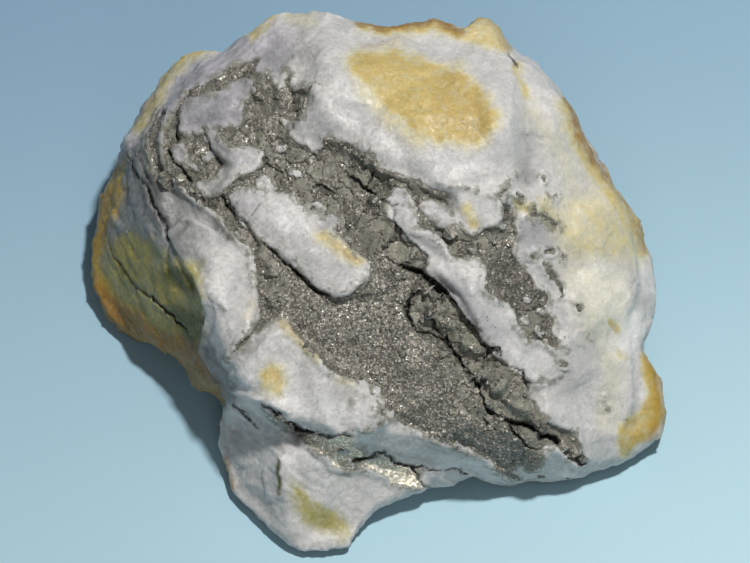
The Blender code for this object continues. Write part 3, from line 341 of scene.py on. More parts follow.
# Stains and tones of the quartz, with painted shade in the blue-grey and crack marks and painted light in
# some of the whitest marks, under the mask that each adds to: strength, softness in squares, half width
# of a line (0 for a filled outline), points
MARKS = {
    "ochre": [
        (1, 10, 0, [(347, 60), (356, 53), (396, 46), (412, 56), (438, 66), (460, 67), (472, 78),
            (486, 96), (501, 114), (498, 128), (486, 142), (466, 150), (436, 144), (416, 134),
            (396, 118), (374, 102), (364, 84), (348, 70)]),
        (0.8, 4, 4, [(611, 322), (615, 331)]),
        (0.6, 4, 3, [(619, 351), (622, 358)]),
        (0.75, 4, 4, [(517, 66), (521, 80), (525, 97)]),
        (0.75, 6, 0, [(458, 32), (470, 14), (487, 13), (500, 27), (512, 47), (500, 52), (480, 46),
            (462, 42)]),
        (0.75, 7, 9, [(566, 104), (574, 128), (590, 166), (612, 196), (634, 228), (643, 250)]),
        (0.95, 5, 0, [(643, 348), (655, 366), (663, 395), (662, 420), (652, 434), (638, 442),
            (630, 456), (620, 456), (618, 425), (628, 415), (640, 410), (646, 395), (642, 372)]),
        (0.8, 7, 0, [(258, 376), (268, 362), (282, 368), (286, 382), (280, 398), (268, 400),
            (258, 390)]),
        (0.6, 5, 5, [(283, 324), (300, 342), (318, 358)]),
        (0.75, 6, 6, [(322, 238), (340, 248), (355, 262)]),
        (0.7, 5, 7, [(466, 208), (474, 224)]),
        (0.6, 5, 6, [(518, 202), (530, 208)]),
        (0.6, 6, 7, [(541, 206), (553, 222)]),
        (0.75, 6, 6, [(204, 48), (184, 56), (170, 72), (158, 92), (146, 116), (140, 130)]),
        (0.7, 5, 5, [(252, 36), (262, 24), (274, 12)]),
        (0.35, 7, 6, [(288, 16), (312, 18)]),
        (0.9, 6, 6, [(362, 24), (400, 32), (434, 24), (458, 34)]),
        (0.5, 9, 8, [(354, 62), (368, 92), (392, 122), (420, 140)]),
        (0.75, 4, 4, [(180, 260), (192, 268), (200, 280), (206, 293)]),
        (0.5, 3, 2.5, [(206, 298), (204, 322), (197, 337)]),
        (0.75, 7, 0, [(293, 484), (300, 488), (308, 501), (320, 510), (335, 514), (345, 524),
            (346, 535), (338, 539), (325, 531), (306, 518), (296, 506), (292, 495)]),
        (0.55, 14, 0, [(562, 200), (590, 190), (612, 202), (632, 218), (645, 242), (642, 262),
            (612, 262), (585, 262), (565, 258), (556, 235), (558, 212)]),
        (0.4, 14, 12, [(575, 225), (598, 242), (636, 256)]),
        (0.3, 16, 0, [(560, 262), (620, 266), (632, 300), (612, 350), (585, 340), (575, 300)]),
        (0.28, 12, 9, [(534, 112), (548, 130), (560, 150), (572, 176), (572, 195)]),
        (0.25, 12, 10, [(590, 270), (606, 330), (612, 380), (606, 420)]),
        (0.7, 4, 5, [(516, 202), (528, 208)]),
        (0.55, 5, 6, [(546, 205), (556, 225)]),
        (0.45, 4, 3, [(336, 379), (350, 384)]),
        (0.35, 4, 3, [(245, 318), (254, 300)]),
    ],
    "gold": [
        (0.8, 8, 0, [(643, 348), (655, 366), (663, 395), (662, 420), (652, 434), (638, 442), (630, 448),
            (646, 420), (650, 395), (645, 372)]),
        (1, 6, 0, [(126, 160), (122, 178), (124, 195), (120, 210), (112, 225), (106, 245), (101, 262),
            (106, 275), (118, 292), (134, 308), (152, 322), (167, 331), (150, 337), (128, 327),
            (108, 309), (94, 293), (83, 275), (83, 255), (90, 235), (97, 212), (105, 188), (114, 168)]),
        (0.9, 6, 0, [(104, 284), (150, 312), (190, 334), (203, 340), (196, 352), (160, 345), (130, 325),
            (108, 303)]),
        (0.7, 7, 0, [(110, 238), (150, 238), (152, 282), (116, 280)]),
        (0.6, 7, 8, [(150, 330), (176, 340), (190, 344)]),
        (0.9, 6, 0, [(146, 276), (160, 272), (176, 282), (181, 298), (171, 306), (155, 297)]),
    ],
    "rust": [
        (0.7, 4, 2, [(460, 121), (464, 123)]),
        (0.12, 12, 0, [(430, 66), (470, 80), (500, 114), (490, 140), (460, 148), (440, 120)]),
        (0.28, 8, 6, [(452, 116), (472, 128)]),
        (0.15, 6, 4, [(436, 72), (470, 84)]),
        (0.16, 5, 3, [(366, 60), (378, 64)]),
        (0.45, 5, 5, [(459, 30), (470, 17), (486, 15), (498, 28), (510, 45)]),
        (0.85, 4, 5, [(567, 98), (577, 118), (582, 140), (594, 158), (606, 176)]),
        (0.6, 5, 5, [(606, 176), (618, 190), (632, 208), (641, 228), (647, 250)]),
        (0.5, 5, 5, [(650, 356), (661, 390), (661, 420), (648, 436)]),
        (0.5, 3, 2.5, [(283, 322), (296, 336), (312, 352)]),
        (0.35, 4, 3, [(334, 243), (345, 252), (355, 262)]),
        (0.3, 5, 4, [(168, 62), (158, 80), (146, 104), (136, 124)]),
        (0.95, 5, 5, [(362, 20), (384, 26), (402, 26), (420, 20), (434, 16), (446, 24), (458, 30)]),
        (0.3, 2.5, 1.5, [(356, 45), (380, 44), (400, 41), (414, 42)]),
        (1, 6, 0, [(82, 262), (96, 278), (112, 296), (130, 310), (148, 322), (168, 332), (186, 338),
            (197, 345), (206, 360), (215, 380), (226, 400), (217, 408), (199, 390), (185, 370),
            (164, 358), (139, 347), (116, 332), (96, 314), (84, 292)]),
        (0.6, 4, 3, [(108, 186), (110, 204)]),
        (0.6, 6, 6, [(104, 200), (98, 226), (92, 252)]),
        (0.9, 5, 0, [(184, 335), (196, 339), (203, 352), (194, 357), (184, 348)]),
        (0.7, 4, 3, [(223, 458), (226, 476), (232, 492)]),
    ],
    "moss": [
        (0.7, 8, 0, [(108, 250), (130, 232), (160, 250), (178, 262), (203, 264), (204, 300), (203, 330),
            (196, 345), (168, 334), (140, 316), (112, 290), (100, 270)]),
        (0.85, 7, 7, [(112, 272), (130, 292), (150, 309), (168, 322), (178, 334)]),
        (0.8, 6, 0, [(126, 236), (138, 238), (147, 250), (141, 262), (130, 258), (124, 246)]),
        (0.6, 6, 5, [(118, 262), (130, 276), (142, 286)]),
        (0.5, 5, 3, [(146, 262), (156, 276)]),
        (0.75, 8, 0, [(292, 482), (300, 486), (308, 500), (320, 508), (335, 512), (346, 522),
            (348, 536), (338, 541), (325, 533), (305, 520), (295, 508), (291, 495)]),
    ],
    "olive": [
        (0.3, 8, 6, [(150, 100), (142, 122), (146, 150), (160, 184)]),
        (1, 7, 0, [(164, 268), (178, 263), (193, 274), (201, 288), (190, 292), (176, 286), (165, 278)]),
        (1, 6, 0, [(166, 306), (180, 305), (196, 314), (206, 318), (207, 333), (198, 343), (186, 339),
            (173, 326)]),
        (0.55, 5, 5, [(212, 380), (222, 398)]),
        (1, 2, 2, [(276, 462), (277, 472), (279, 482), (278, 492)]),
        (0.4, 4, 3, [(540, 210), (552, 226)]),
    ],
    "lilac": [
        (0.95, 14, 0, [(122, 150), (180, 70), (262, 18), (296, 34), (296, 56), (276, 74), (262, 84),
            (250, 125), (190, 132), (176, 160), (165, 190), (140, 170)]),
        (0.25, 8, 9, [(402, 196), (420, 222), (444, 250)]),
        (0.5, 6, 8, [(456, 288), (480, 318), (500, 345)]),
        (0.6, 6, 7, [(212, 140), (230, 158), (250, 160)]),
        (0.4, 10, 8, [(300, 110), (330, 140)]),
        (0.55, 7, 0, GREY_PATCH),
        (0.5, 5, 0, [(421, 204), (428, 202), (443, 209), (451, 219), (455, 225), (444, 225),
            (430, 217)]),
        (0.4, 6, 0, [(233, 193), (243, 190), (255, 192), (261, 202), (253, 213), (249, 224), (242, 215),
            (235, 202)]),
        (0.35, 8, 0, [(316, 216), (336, 218), (334, 228), (322, 230)]),
    ],
    # Blue-grey quartz, and painted shade: the flank, the foot and some slopes are darkened where they lie in
    # shade
    "slate_and_shade": [
        (0.25, 14, 14, [(590, 208), (630, 240)]),
        (0.3, 12, 0, [(180, 100), (240, 70), (300, 20), (340, 40), (300, 70), (240, 120), (190, 130)]),
        (0.4, 6, 0, [(170, 140), (215, 138), (232, 160), (222, 190), (196, 190), (174, 170)]),
        (0.55, 8, 9, [(156, 118), (158, 160), (172, 190), (200, 212), (224, 236)]),
        (0.2, 7, 8, [(450, 280), (474, 314), (496, 345)]),
        (0.15, 10, 12, [(290, 240), (340, 275)]),
        (0.4, 7, 9, [(534, 232), (548, 240)]),
        (0.28, 9, 10, [(532, 130), (538, 160), (530, 180)]),
        (0.1, 10, 10, [(332, 100), (322, 126), (318, 140)]),
        (0.3, 7, 8, [(632, 270), (645, 300)]),
        (1, 4, 0, [(122, 150), (150, 146), (168, 190), (186, 222), (204, 262), (206, 300), (204, 345),
            (230, 395), (222, 410), (190, 370), (150, 345), (108, 320), (84, 280), (92, 230),
            (108, 185)]),
        (0.35, 8, 0, [(184, 205), (200, 216), (212, 230), (208, 242), (190, 238), (172, 226)]),
        (1, 4, 0, [(190, 334), (204, 338), (214, 352), (228, 366), (238, 384), (234, 404), (214, 398),
            (198, 372)]),
        (0.35, 8, 9, [(528, 120), (530, 150), (524, 170)]),
        (0.45, 7, 0, GREY_PATCH),
        (0.3, 8, 0, [(328, 383), (342, 381), (355, 388), (360, 400), (345, 406), (330, 400)]),
        (0.12, 12, 10, [(400, 395), (380, 410), (350, 425)]),
        (0.28, 12, 14, [(560, 385), (575, 370), (590, 350)]),
    ],
    # The whitest quartz, and painted light: a lit facet of the island and slopes made lighter where they lie
    # in shade
    "milk_and_light": [
        (0.5, 4, 0, [(262, 214), (274, 204), (296, 208), (312, 226), (310, 232), (296, 234),
            (278, 230)]),
        (0.35, 10, 0, [(534, 78), (556, 92), (566, 120), (560, 130), (542, 116)]),
        (0.25, 12, 10, [(330, 70), (345, 110), (400, 150), (450, 170), (500, 150), (508, 120)]),
        (0.5, 9, 7, [(578, 212), (586, 220)]),
        (1, 16, 22, [(600, 285), (622, 330)]),
        (0.5, 10, 10, [(640, 262), (646, 290)]),
        (0.5, 12, 16, [(250, 380), (300, 400), (350, 425)]),
        (0.45, 9, 7, [(238, 468), (246, 476)]),
        (0.2, 12, 10, [(205, 290), (215, 340), (230, 330)]),
        (0.3, 10, 9, [(500, 340), (530, 370)]),
        (0.5, 3, 2, [(150, 256), (157, 272)]),
    ],
    # Painted shadow: dark lines in cracks and along a groove of the foot
    "crack_shadow": [
        (0.8, 2, 1.5, [(509, 56), (516, 66)]),
        (0.5, 9, 9, [(146, 186), (156, 204), (166, 220)]),
        (0.45, 6, 5, [(188, 338), (197, 348)]),
        (0.5, 1.5, 1, [(277, 466), (279, 480)]),
    ],
}


# ---------------------------------------------------------------- places, noise and cells


def face_places(points):
    """Grid places on the face, in squares, and the height over the face's level in mm."""
    x, y, z = points.T
    out = z * math.sin(FACE_LEAN) - y * math.cos(FACE_LEAN) - FACE_LEVEL
    up = y * math.sin(FACE_LEAN) + z * math.cos(FACE_LEAN) - FACE_MIDDLE
    spread = SIGHT_DISTANCE / (SIGHT_DISTANCE - out)
    across = GRID_CENTRE[0] + (x - FACE_SIDE) * spread / GRID_SQUARE
    down = GRID_CENTRE[1] - up * spread / GRID_SQUARE
    return np.stack([across, down], 1), out


# Numbers that scramble a cell's place into a random number
HASH_STEPS = np.array([73856093, 19349663, 83492791])
HASH_SEED = 668265263
HASH_ROUNDS = ((15, 0x2C1B3C6D), (12, 0x297A2D39), (15, 0x85EBCA6B))
HASH_TOP = 0xFFFFFFFF


def lattice(cells, seed):
    """A fixed random number from 0 to 1 for each whole-numbered cell."""
    mixed = (cells * HASH_STEPS).sum(-1) + seed * HASH_SEED
    mixed = (mixed & HASH_TOP).astype(np.uint64)
    for shift, factor in HASH_ROUNDS:
        mixed ^= mixed >> np.uint64(shift)
        mixed = (mixed * np.uint64(factor)) & np.uint64(HASH_TOP)
    return (mixed ^ (mixed >> np.uint64(13))).astype(float) / HASH_TOP


def lumps(points, size, seed):
    """Smooth random heights from -1 to 1, with lumps about size across."""
    place = points / size
    corner = np.floor(place).astype(np.int64)
    part = place - corner
    part = part * part * (3 - 2 * part)
    height = np.zeros(len(points))
    for step in itertools.product((0, 1), repeat=3):
        weight = np.prod(np.where(step, part, 1 - part), axis=1)
        height += weight * lattice(corner + step, seed)
    return height * 2 - 1


# From one layer of lumps to the next: the turn, and how much finer it is
TURN = np.array([[0.36, 0.48, -0.8], [-0.8, 0.6, 0.0], [0.48, 0.64, 0.6]])
FINER = 0.48


def rough(points, size, seed, octaves=3, gain=0.5):
    """Layers of lumps, each finer, lower and turned against the last."""
    total = np.zeros(len(points))
    weight = 1.0
    for octave in range(octaves):
        total += weight * lumps(points, size, seed + octave)
        points = points @ TURN.T
        size *= FINER
        weight *= gain
    return total


def wander(points, size, reach, seeds, octaves=3):
    """A random shift of each point, of about reach at most, along one axis for each seed."""
    return np.stack([rough(points, size, seed, octaves) for seed in seeds], 1) * reach


def broken_cells(points, size, seed):
    """The broken cell that each point is in: depth inside it, offset from its middle, its own cell."""
    place = points / size
    home = np.floor(place).astype(np.int64)
    first = np.full(len(points), math.inf)
    second = first.copy()
    owner = home.copy()
    offset = np.zeros_like(place)
    for step in itertools.product((-1, 0, 1), repeat=3):
        cell = home + step
        middle = cell + np.stack([lattice(cell, seed + k) for k in range(3)], 1)
        away = place - middle
        distance = np.sqrt((away * away).sum(1))
        closer = distance < first
        second = np.where(closer, first, np.minimum(second, distance))
        first = np.where(closer, distance, first)
        owner[closer] = cell[closer]
        offset[closer] = away[closer]
    return (second - first) * size, offset * size, owner


def facet_heights(points, size, seed, tilt):
    """Broken flats: each cell has its own slope and level. Also the depth inside it, and the cell."""
    inside, offset, owner = broken_cells(points, size, seed)
    slope = np.stack([lattice(owner, seed + 11 + k) for k in range(3)], 1) * 2 - 1
    level = lattice(owner, seed + 17) * 2 - 1
    return (offset * slope).sum(1) * tilt + level * size * tilt * 0.5, inside, owner


def ease(value, low, high):
    """0 below low, 1 above high, and a soft step between them."""
    part = np.clip((value - low) / (high - low), 0, 1)
    return part * part * (3 - 2 * part)


def path_distance(places, path, closed=False):
    """Distance of each place from a line through the points of path, up to REACH."""
    best = np.full(len(places), REACH * REACH)
    for start, end in zip(path, path[1:] + path[:1] if closed else path[1:]):
        a = np.array(start, float)
        along = np.array(end, float) - a
        reach = np.abs(along) / 2 + REACH
        near = np.flatnonzero(np.all(np.abs(places - a - along / 2) < reach, axis=1))
        away = places[near] - a
        part = np.clip((away @ along) / max(along @ along, 1e-9), 0, 1)
        gap = away - part[:, None] * along
        best[near] = np.minimum(best[near], (gap * gap).sum(1))
    return np.sqrt(best)


def outline_depth(places, outline):
    """How far inside a closed outline each place is: below 0 outside it."""
    inside = np.zeros(len(places), bool)
    x, y = places.T
    for (xa, ya), (xb, yb) in zip(outline, outline[1:] + outline[:1]):
        if ya != yb:
            inside ^= ((ya > y) != (yb > y)) & (x < (xb - xa) * (y - ya) / (yb - ya) + xa)
    return path_distance(places, outline, closed=True) * np.where(inside, 1, -1)


def patch(places, outline, soft):
    """1 inside an outline and 0 outside it, with a soft border."""
    corners = np.array(outline, float)
    near = np.all((places > corners.min(0) - soft) & (places < corners.max(0) + soft), axis=1)
    amount = np.zeros(len(places))
    amount[near] = ease(outline_depth(places[near], outline), -soft, soft)
    return amount


def streak(places, path, width, soft):
    """1 along a line of the given half width, fading beside it."""
    return 1 - ease(path_distance(places, path), width - soft, width + soft)


def ore_map(places):
    """How far inside the ore's outlines on the face each place is, in mm."""
    depth = np.max([outline_depth(places, outline) for outline in (MAIN_ORE, LOWER_ORE)], axis=0)
    islands = np.max([outline_depth(places, outline) for outline in QUARTZ_OUTLINES], axis=0)
    return np.minimum(depth, -islands) * GRID_SQUARE


def speck_depth(places, specks):
    """How far inside the nearest speck each place is, in mm."""
    depth = np.full(len(places), NOT_NEAR)
    for half_width, path in specks:
        depth = np.maximum(depth, (half_width - path_distance(places, path)) * GRID_SQUARE)
    return depth


def cleft_depths(points, places):
    """How deep the clefts cut in, in mm, and the painted shadow that darkens the surface in and beside them.
    """
    places = places + wander(points, 1.0, 1.5, CLEFT_SEEDS, octaves=2)
    depth = np.zeros(len(places))
    dark = np.zeros(len(places))
    for stations in CLEFTS:
        for (xa, ya, wa), (xb, yb, wb) in zip(stations, stations[1:]):
            start, along = np.array([xa, ya]), np.array([xb - xa, yb - ya])
            near = np.all(np.abs(places - start - along / 2) < np.abs(along) / 2 + CLEFT_REACH, axis=1)
            away = places[near] - start
            part = np.clip(away @ along / (along @ along), 0, 1)
            gap = np.linalg.norm(away - part[:, None] * along, axis=1)
            width = wa + (wb - wa) * part
            steepness = 1 - ease(gap, width * 0.3, width * 0.95 + 0.7)
            cut = steepness * np.minimum(width * 0.75, CLEFT_DEEPEST)
            depth[near] = np.maximum(depth[near], cut)
            # Painted shadow: the surface is darkened in and beside the cleft, where shade falls
            painted_shadow = 1 - ease(gap, width * 0.3, width * 0.8 + 1.0)
            dark[near] = np.maximum(dark[near], painted_shadow * ease(width, 0.2, 1.4))
    return depth, dark


# The form of a coarse crystal, as shares of its radius: its half width, how steep its sides rise, the
# level and the lean of its tops, and its height
BLOCK_SIDES = 6
BLOCK_WIDTH = 1.15
BLOCK_RISE = 1.8
BLOCK_TOP = 0.36
BLOCK_LEAN = 0.34
BLOCK_HEIGHT = 0.8


def crystal_heights(places):
    """Coarse blocky crystals, each with six upright sides, cut off by two leaning tops.

    Gives the height in mm, how far each place is from its crystal's edge, whether it is on one, and a tone.
    """
    first = np.full(len(places), -1.0)
    second = first.copy()
    height = np.zeros(len(places))
    tone = np.zeros(len(places))
    for index, (x, y, radius) in enumerate(LUMPS):
        away = (places - (x, y)) / radius
        near = np.flatnonzero(np.abs(away).max(1) < 1.6)
        chance = lattice(np.array([[index, draw, 9] for draw in range(BLOCK_SIDES + 3)]), CRYSTAL_SEED)
        angles = (np.arange(BLOCK_SIDES) + 0.5 * chance[:BLOCK_SIDES]) * math.tau / BLOCK_SIDES
        sides = np.stack([np.cos(angles), np.sin(angles)])
        level = BLOCK_WIDTH - (away[near] @ sides).max(1) * BLOCK_WIDTH
        leans = chance[BLOCK_SIDES:-1] * math.tau
        tops = BLOCK_TOP + away[near] @ np.stack([np.cos(leans), np.sin(leans)]) * BLOCK_LEAN
        top = np.clip(np.minimum(level * BLOCK_RISE, tops.min(1)), 0, 1)
        closer = level > first[near]
        second[near] = np.where(closer, first[near], np.maximum(second[near], level))
        first[near] = np.where(closer, level, first[near])
        height[near] = np.where(closer, top * radius * GRID_SQUARE * BLOCK_HEIGHT, height[near])
        tone[near] = np.where(closer, chance[-1], tone[near])
    return height, np.clip(first - np.maximum(second, 0), 0, 1), first > 0, tone


# ---------------------------------------------------------------- meshes


def select_only(*objects):
    """Selects these objects and nothing else, and makes the first one active."""
    bpy.ops.object.select_all(action="DESELECT")
    for obj in objects:
        obj.select_set(True)
    bpy.context.view_layer.objects.active = objects[0]


def add_object(name, mesh):
    obj = bpy.data.objects.new(name, mesh)
    bpy.context.scene.collection.objects.link(obj)
    return obj


def finish_with(obj, kind, **settings):
    """Adds a modifier to an object, sets it and applies it."""
    select_only(obj)
    bpy.ops.object.modifier_add(type=kind)
    modifier = obj.modifiers[-1]
    for name, value in settings.items():
        setattr(modifier, name, value)
    bpy.ops.object.modifier_apply(modifier=modifier.name)


def points_of(mesh):
    """The places of a mesh's vertices, in mm."""
    flat = np.empty(len(mesh.vertices) * 3)
    mesh.vertices.foreach_get("co", flat)
    return flat.reshape(-1, 3) / MM


def normals_of(mesh):
    flat = np.empty(len(mesh.vertices) * 3)
    mesh.vertex_normals.foreach_get("vector", flat)
    return flat.reshape(-1, 3)


def move_points(mesh, points):
    """Writes the vertices' places, kept over the ground and inside the solids' box."""
    low, high = (np.array(corner) / MM for corner in cad_box)
    spare = (high - low) * BOX_SPARE
    low, high = low - spare, high + spare
    low[2] = 0.0
    mesh.vertices.foreach_set("co", (np.clip(points, low, high) * MM).ravel())
    mesh.update()


def set_mask(mesh, name, values):
    """Stores one number for each vertex."""
    layer = mesh.attributes.get(name) or mesh.attributes.new(name, "FLOAT", "POINT")
    layer.data.foreach_set("value", np.ascontiguousarray(values, dtype=np.float32))


def edges_of(mesh):
    flat = np.empty(len(mesh.edges) * 2, np.int64)
    mesh.edges.foreach_get("vertices", flat)
    return flat.reshape(-1, 2)


def softened(values, edges, rounds):
    """Values averaged with their neighbours' along the edges."""
    columns = np.array(values, float).reshape(len(values), -1).T.copy()
    near, far = np.concatenate([edges, edges[:, ::-1]]).T
    count = 1 + np.bincount(near, minlength=len(values))
    for _ in range(rounds):
        for column in columns:
            column += np.bincount(near, weights=column[far], minlength=len(values))
            column /= count
    return columns.T.reshape(np.shape(values))


def node_copy(name, swell):
    """A merged copy of a solid, swollen a little."""
    obj = add_object("skin " + name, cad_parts[name].data.copy())
    obj.data.materials.clear()
    select_only(obj)
    bpy.ops.object.mode_set(mode="EDIT")
    bpy.ops.mesh.select_all(action="SELECT")
    bpy.ops.mesh.remove_doubles(threshold=MERGE_DISTANCE)
    bpy.ops.object.mode_set(mode="OBJECT")
    if swell:
        finish_with(obj, "DISPLACE", strength=swell, mid_level=0.0)
    return obj


def rock_skin(name, detail, smoothing):
    """The three solids grown together into one closed skin with even faces and no narrow gaps."""
    size = sizes()
    swell = size.join_swell
    parts = [node_copy(QUARTZ_NODE, 0), node_copy(SEAM_NODE, swell), node_copy(LOWER_NODE, swell)]
    select_only(*parts)
    bpy.ops.object.join()
    skin = parts[0]
    skin.name = name
    finish_with(skin, "REMESH", mode="VOXEL", voxel_size=detail)
    finish_with(skin, "DISPLACE", strength=size.gap_closing, mid_level=0.0)
    finish_with(skin, "REMESH", mode="VOXEL", voxel_size=detail)
    finish_with(skin, "DISPLACE", strength=-size.gap_closing, mid_level=0.0)
    finish_with(skin, "SMOOTH", factor=0.5, iterations=smoothing)
    return skin


def thin_out(obj, chosen, ratio):
    """Thins out an object's faces, around the chosen vertices only."""
    group = obj.vertex_groups.new(name="thinned")
    group.add(np.flatnonzero(chosen).tolist(), 1.0, "REPLACE")
    finish_with(obj, "DECIMATE", ratio=ratio, vertex_group=group.name)
    obj.vertex_groups.clear()


def solid_tree(*names):
    """A search tree over the faces of some solids, in mm."""
    places, faces = [], []
    for name in names:
        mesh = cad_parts[name].data
        faces += [[v + len(places) for v in face.vertices] for face in mesh.polygons]
        places += [tuple(v.co / MM) for v in mesh.vertices]
    return BVHTree.FromPolygons(places, faces)


def distances(tree, points):
    found = (tree.find_nearest(point)[3] for point in points.tolist())
    return np.fromiter(found, float, len(points))


def ore_field(points, normals, ragged):
    """Above 0 in the ore and below 0 in the quartz, in mm from a ragged border."""
    ore = distances(solid_tree(SEAM_NODE, LOWER_NODE), points)
    quartz = distances(solid_tree(QUARTZ_NODE), points)
    places, out = face_places(points)
    facing = ease(normals @ FACE_OUT, *OUTLINE_TURN) * (out > -FACE_DEPTH)
    solid = np.clip(quartz - ore, -DEEP_IN_SOLID, DEEP_IN_SOLID)
    field = solid + (ore_map(places) - 0.12 - solid) * facing
    field += rough(points, 1.6, BORDER_SEED, octaves=4, gain=0.7) * ragged
    crumb = rough(points, 0.8, CRUMB_SEED, octaves=2) * 0.5
    ore_specks, quartz_specks = (
        np.where(facing > 0.5, speck_depth(places, specks) * 1.6 + crumb, NOT_NEAR)
        for specks in (ORE_SPECKS, QUARTZ_SPECKS)
    )
    field = np.maximum(field, ore_specks)
    return np.where(quartz_specks > -0.6, np.minimum(field, -quartz_specks), field)


def quartz_masks(mesh, points, normals, field, dark):
    """Stores where the quartz is stained, tinted or milky, and where shade and light are painted on it."""
    places, _ = face_places(points)
    facing = ease(normals @ FACE_OUT, *STAIN_TURN)
    moved = places + wander(points, 4.0, 3.2, STAIN_SEEDS) + wander(points, 1.2, 2.2, STAIN_RIM_SEEDS)
    worn = 1 - facing
    crust = rough(points, 9.0, WORN_CRUST_SEED, octaves=4)
    everywhere = {
        # Painted shadow in the clefts
        "crack_shadow": dark,
        "rust": worn * ease(crust, -0.25, 0.7) * 0.75,
        "olive": worn * ease(-crust, -0.2, 0.8) * 0.45,
        "ochre": worn * ease(rough(points, 6.0, WORN_OCHRE_SEED), -0.3, 0.6) * 0.6,
        # Painted shade on the sides turned from the face
        "slate_and_shade": worn * 0.45,
    }
    for name, marks in MARKS.items():
        amount = everywhere.get(name, np.zeros(len(points)))
        for strength, soft, width, path in marks:
            shape = streak(moved, path, width, soft) if width else patch(moved, path, soft)
            amount = np.maximum(amount, shape * strength * facing)
        set_mask(mesh, name, amount)
    # Painted shade in hollows: how far each point lies below the average of its neighbours
    hollow = ((softened(points, edges_of(mesh), rounds=14) - points) * normals).sum(1)
    set_mask(mesh, "hollow", np.clip(hollow * 1.6, -1, 1))
    set_mask(mesh, "border", np.clip(field, -DEEP_IN_SOLID, DEEP_IN_SOLID))


# ---------------------------------------------------------------- materials


def wire(tree, source, target):
    """Links a socket, or sets a plain value, on an input socket."""
    if isinstance(source, bpy.types.NodeSocket):
        tree.links.new(source, target)
    else:
        target.default_value = source


def add_node(tree, kind, settings=None, **inputs):
    """Adds a node. Settings are its properties; inputs are named with _ for spaces."""
    made = tree.nodes.new("ShaderNode" + kind)
    for name, value in (settings or {}).items():
        setattr(made, name, value)
    for name, value in inputs.items():
        wire(tree, value, made.inputs[name.replace("_", " ")])
    return made


def maths(tree, operation, *values, clamp=False):
    made = add_node(tree, "Math", {"operation": operation, "use_clamp": clamp})
    for value, socket in zip(values, made.inputs):
        wire(tree, value, socket)
    return made.outputs[0]


def times(tree, first, second, clamp=False):
    return maths(tree, "MULTIPLY", first, second, clamp=clamp)


def weighted(tree, base, *terms):
    """A base value plus each socket times its weight."""
    for value, weight in terms:
        base = maths(tree, "MULTIPLY_ADD", value, weight, base)
    return base


def blend(tree, amount, first, second, kind="MIX"):
    """One colour mixed over another."""
    made = add_node(tree, "Mix", {"data_type": "RGBA", "blend_type": kind})
    wire(tree, amount, made.inputs[0])
    wire(tree, first, made.inputs[6])
    wire(tree, second, made.inputs[7])
    return made.outputs[2]


def toned(tree, colour, tone):
    """A colour made lighter or darker by a factor."""
    grey = add_node(tree, "CombineColor", Red=tone, Green=tone, Blue=tone)
    return blend(tree, 1.0, colour, grey.outputs[0], "MULTIPLY")


def fitted(tree, value, low, high, to_low=0.0, to_high=1.0):
    """A value fitted softly from one range to another."""
    made = add_node(tree, "MapRange", {"interpolation_type": "SMOOTHSTEP"})
    for socket, number in zip(made.inputs, (value, low, high, to_low, to_high)):
        wire(tree, number, socket)
    return made.outputs[0]


def mask(tree, name):
    return add_node(tree, "Attribute", {"attribute_name": name}).outputs["Fac"]


def new_group(name, inputs, outputs):
    """An empty node group with named sockets, its input node and its output node."""
    tree = bpy.data.node_groups.new(name, "ShaderNodeTree")
    for label, kind, value in inputs:
        socket = tree.interface.new_socket(label, in_out="INPUT", socket_type=kind)
        socket.default_value = value
    for label, kind in outputs:
        tree.interface.new_socket(label, in_out="OUTPUT", socket_type=kind)
    return tree, tree.nodes.new("NodeGroupInput"), tree.nodes.new("NodeGroupOutput")


def vector_maths(tree, operation, first, second):
    made = add_node(tree, "VectorMath", {"operation": operation})
    wire(tree, first, made.inputs[0])
    wire(tree, second, made.inputs["Scale" if operation == "SCALE" else 1])
    return made.outputs[0]


def object_place(tree, size):
    """Object coordinates divided by a size in metres."""
    return vector_maths(tree, "DIVIDE", add_node(tree, "TexCoord").outputs["Object"], size)


CLOUD_SCALES = (("Coarse", 1.0), ("Middle", 3.6), ("Fine", 16.0))


def clouding_group():
    """Soft mottling in three sizes: coarse, middle and fine, each about 0 to 1."""
    tree, given, result = new_group(
        "soft clouding",
        [("Size", "NodeSocketFloat", 0.006)],
        [("Coarse", "NodeSocketFloat"), ("Middle", "NodeSocketFloat"), ("Fine", "NodeSocketFloat")],
    )
    place = object_place(tree, given.outputs["Size"])
    for label, scale in CLOUD_SCALES:
        texture = add_node(tree, "TexNoise", Vector=place, Scale=scale, Detail=4.0, Roughness=0.6)
        wire(tree, fitted(tree, texture.outputs[0], 0.3, 0.7), result.inputs[label])
    return tree


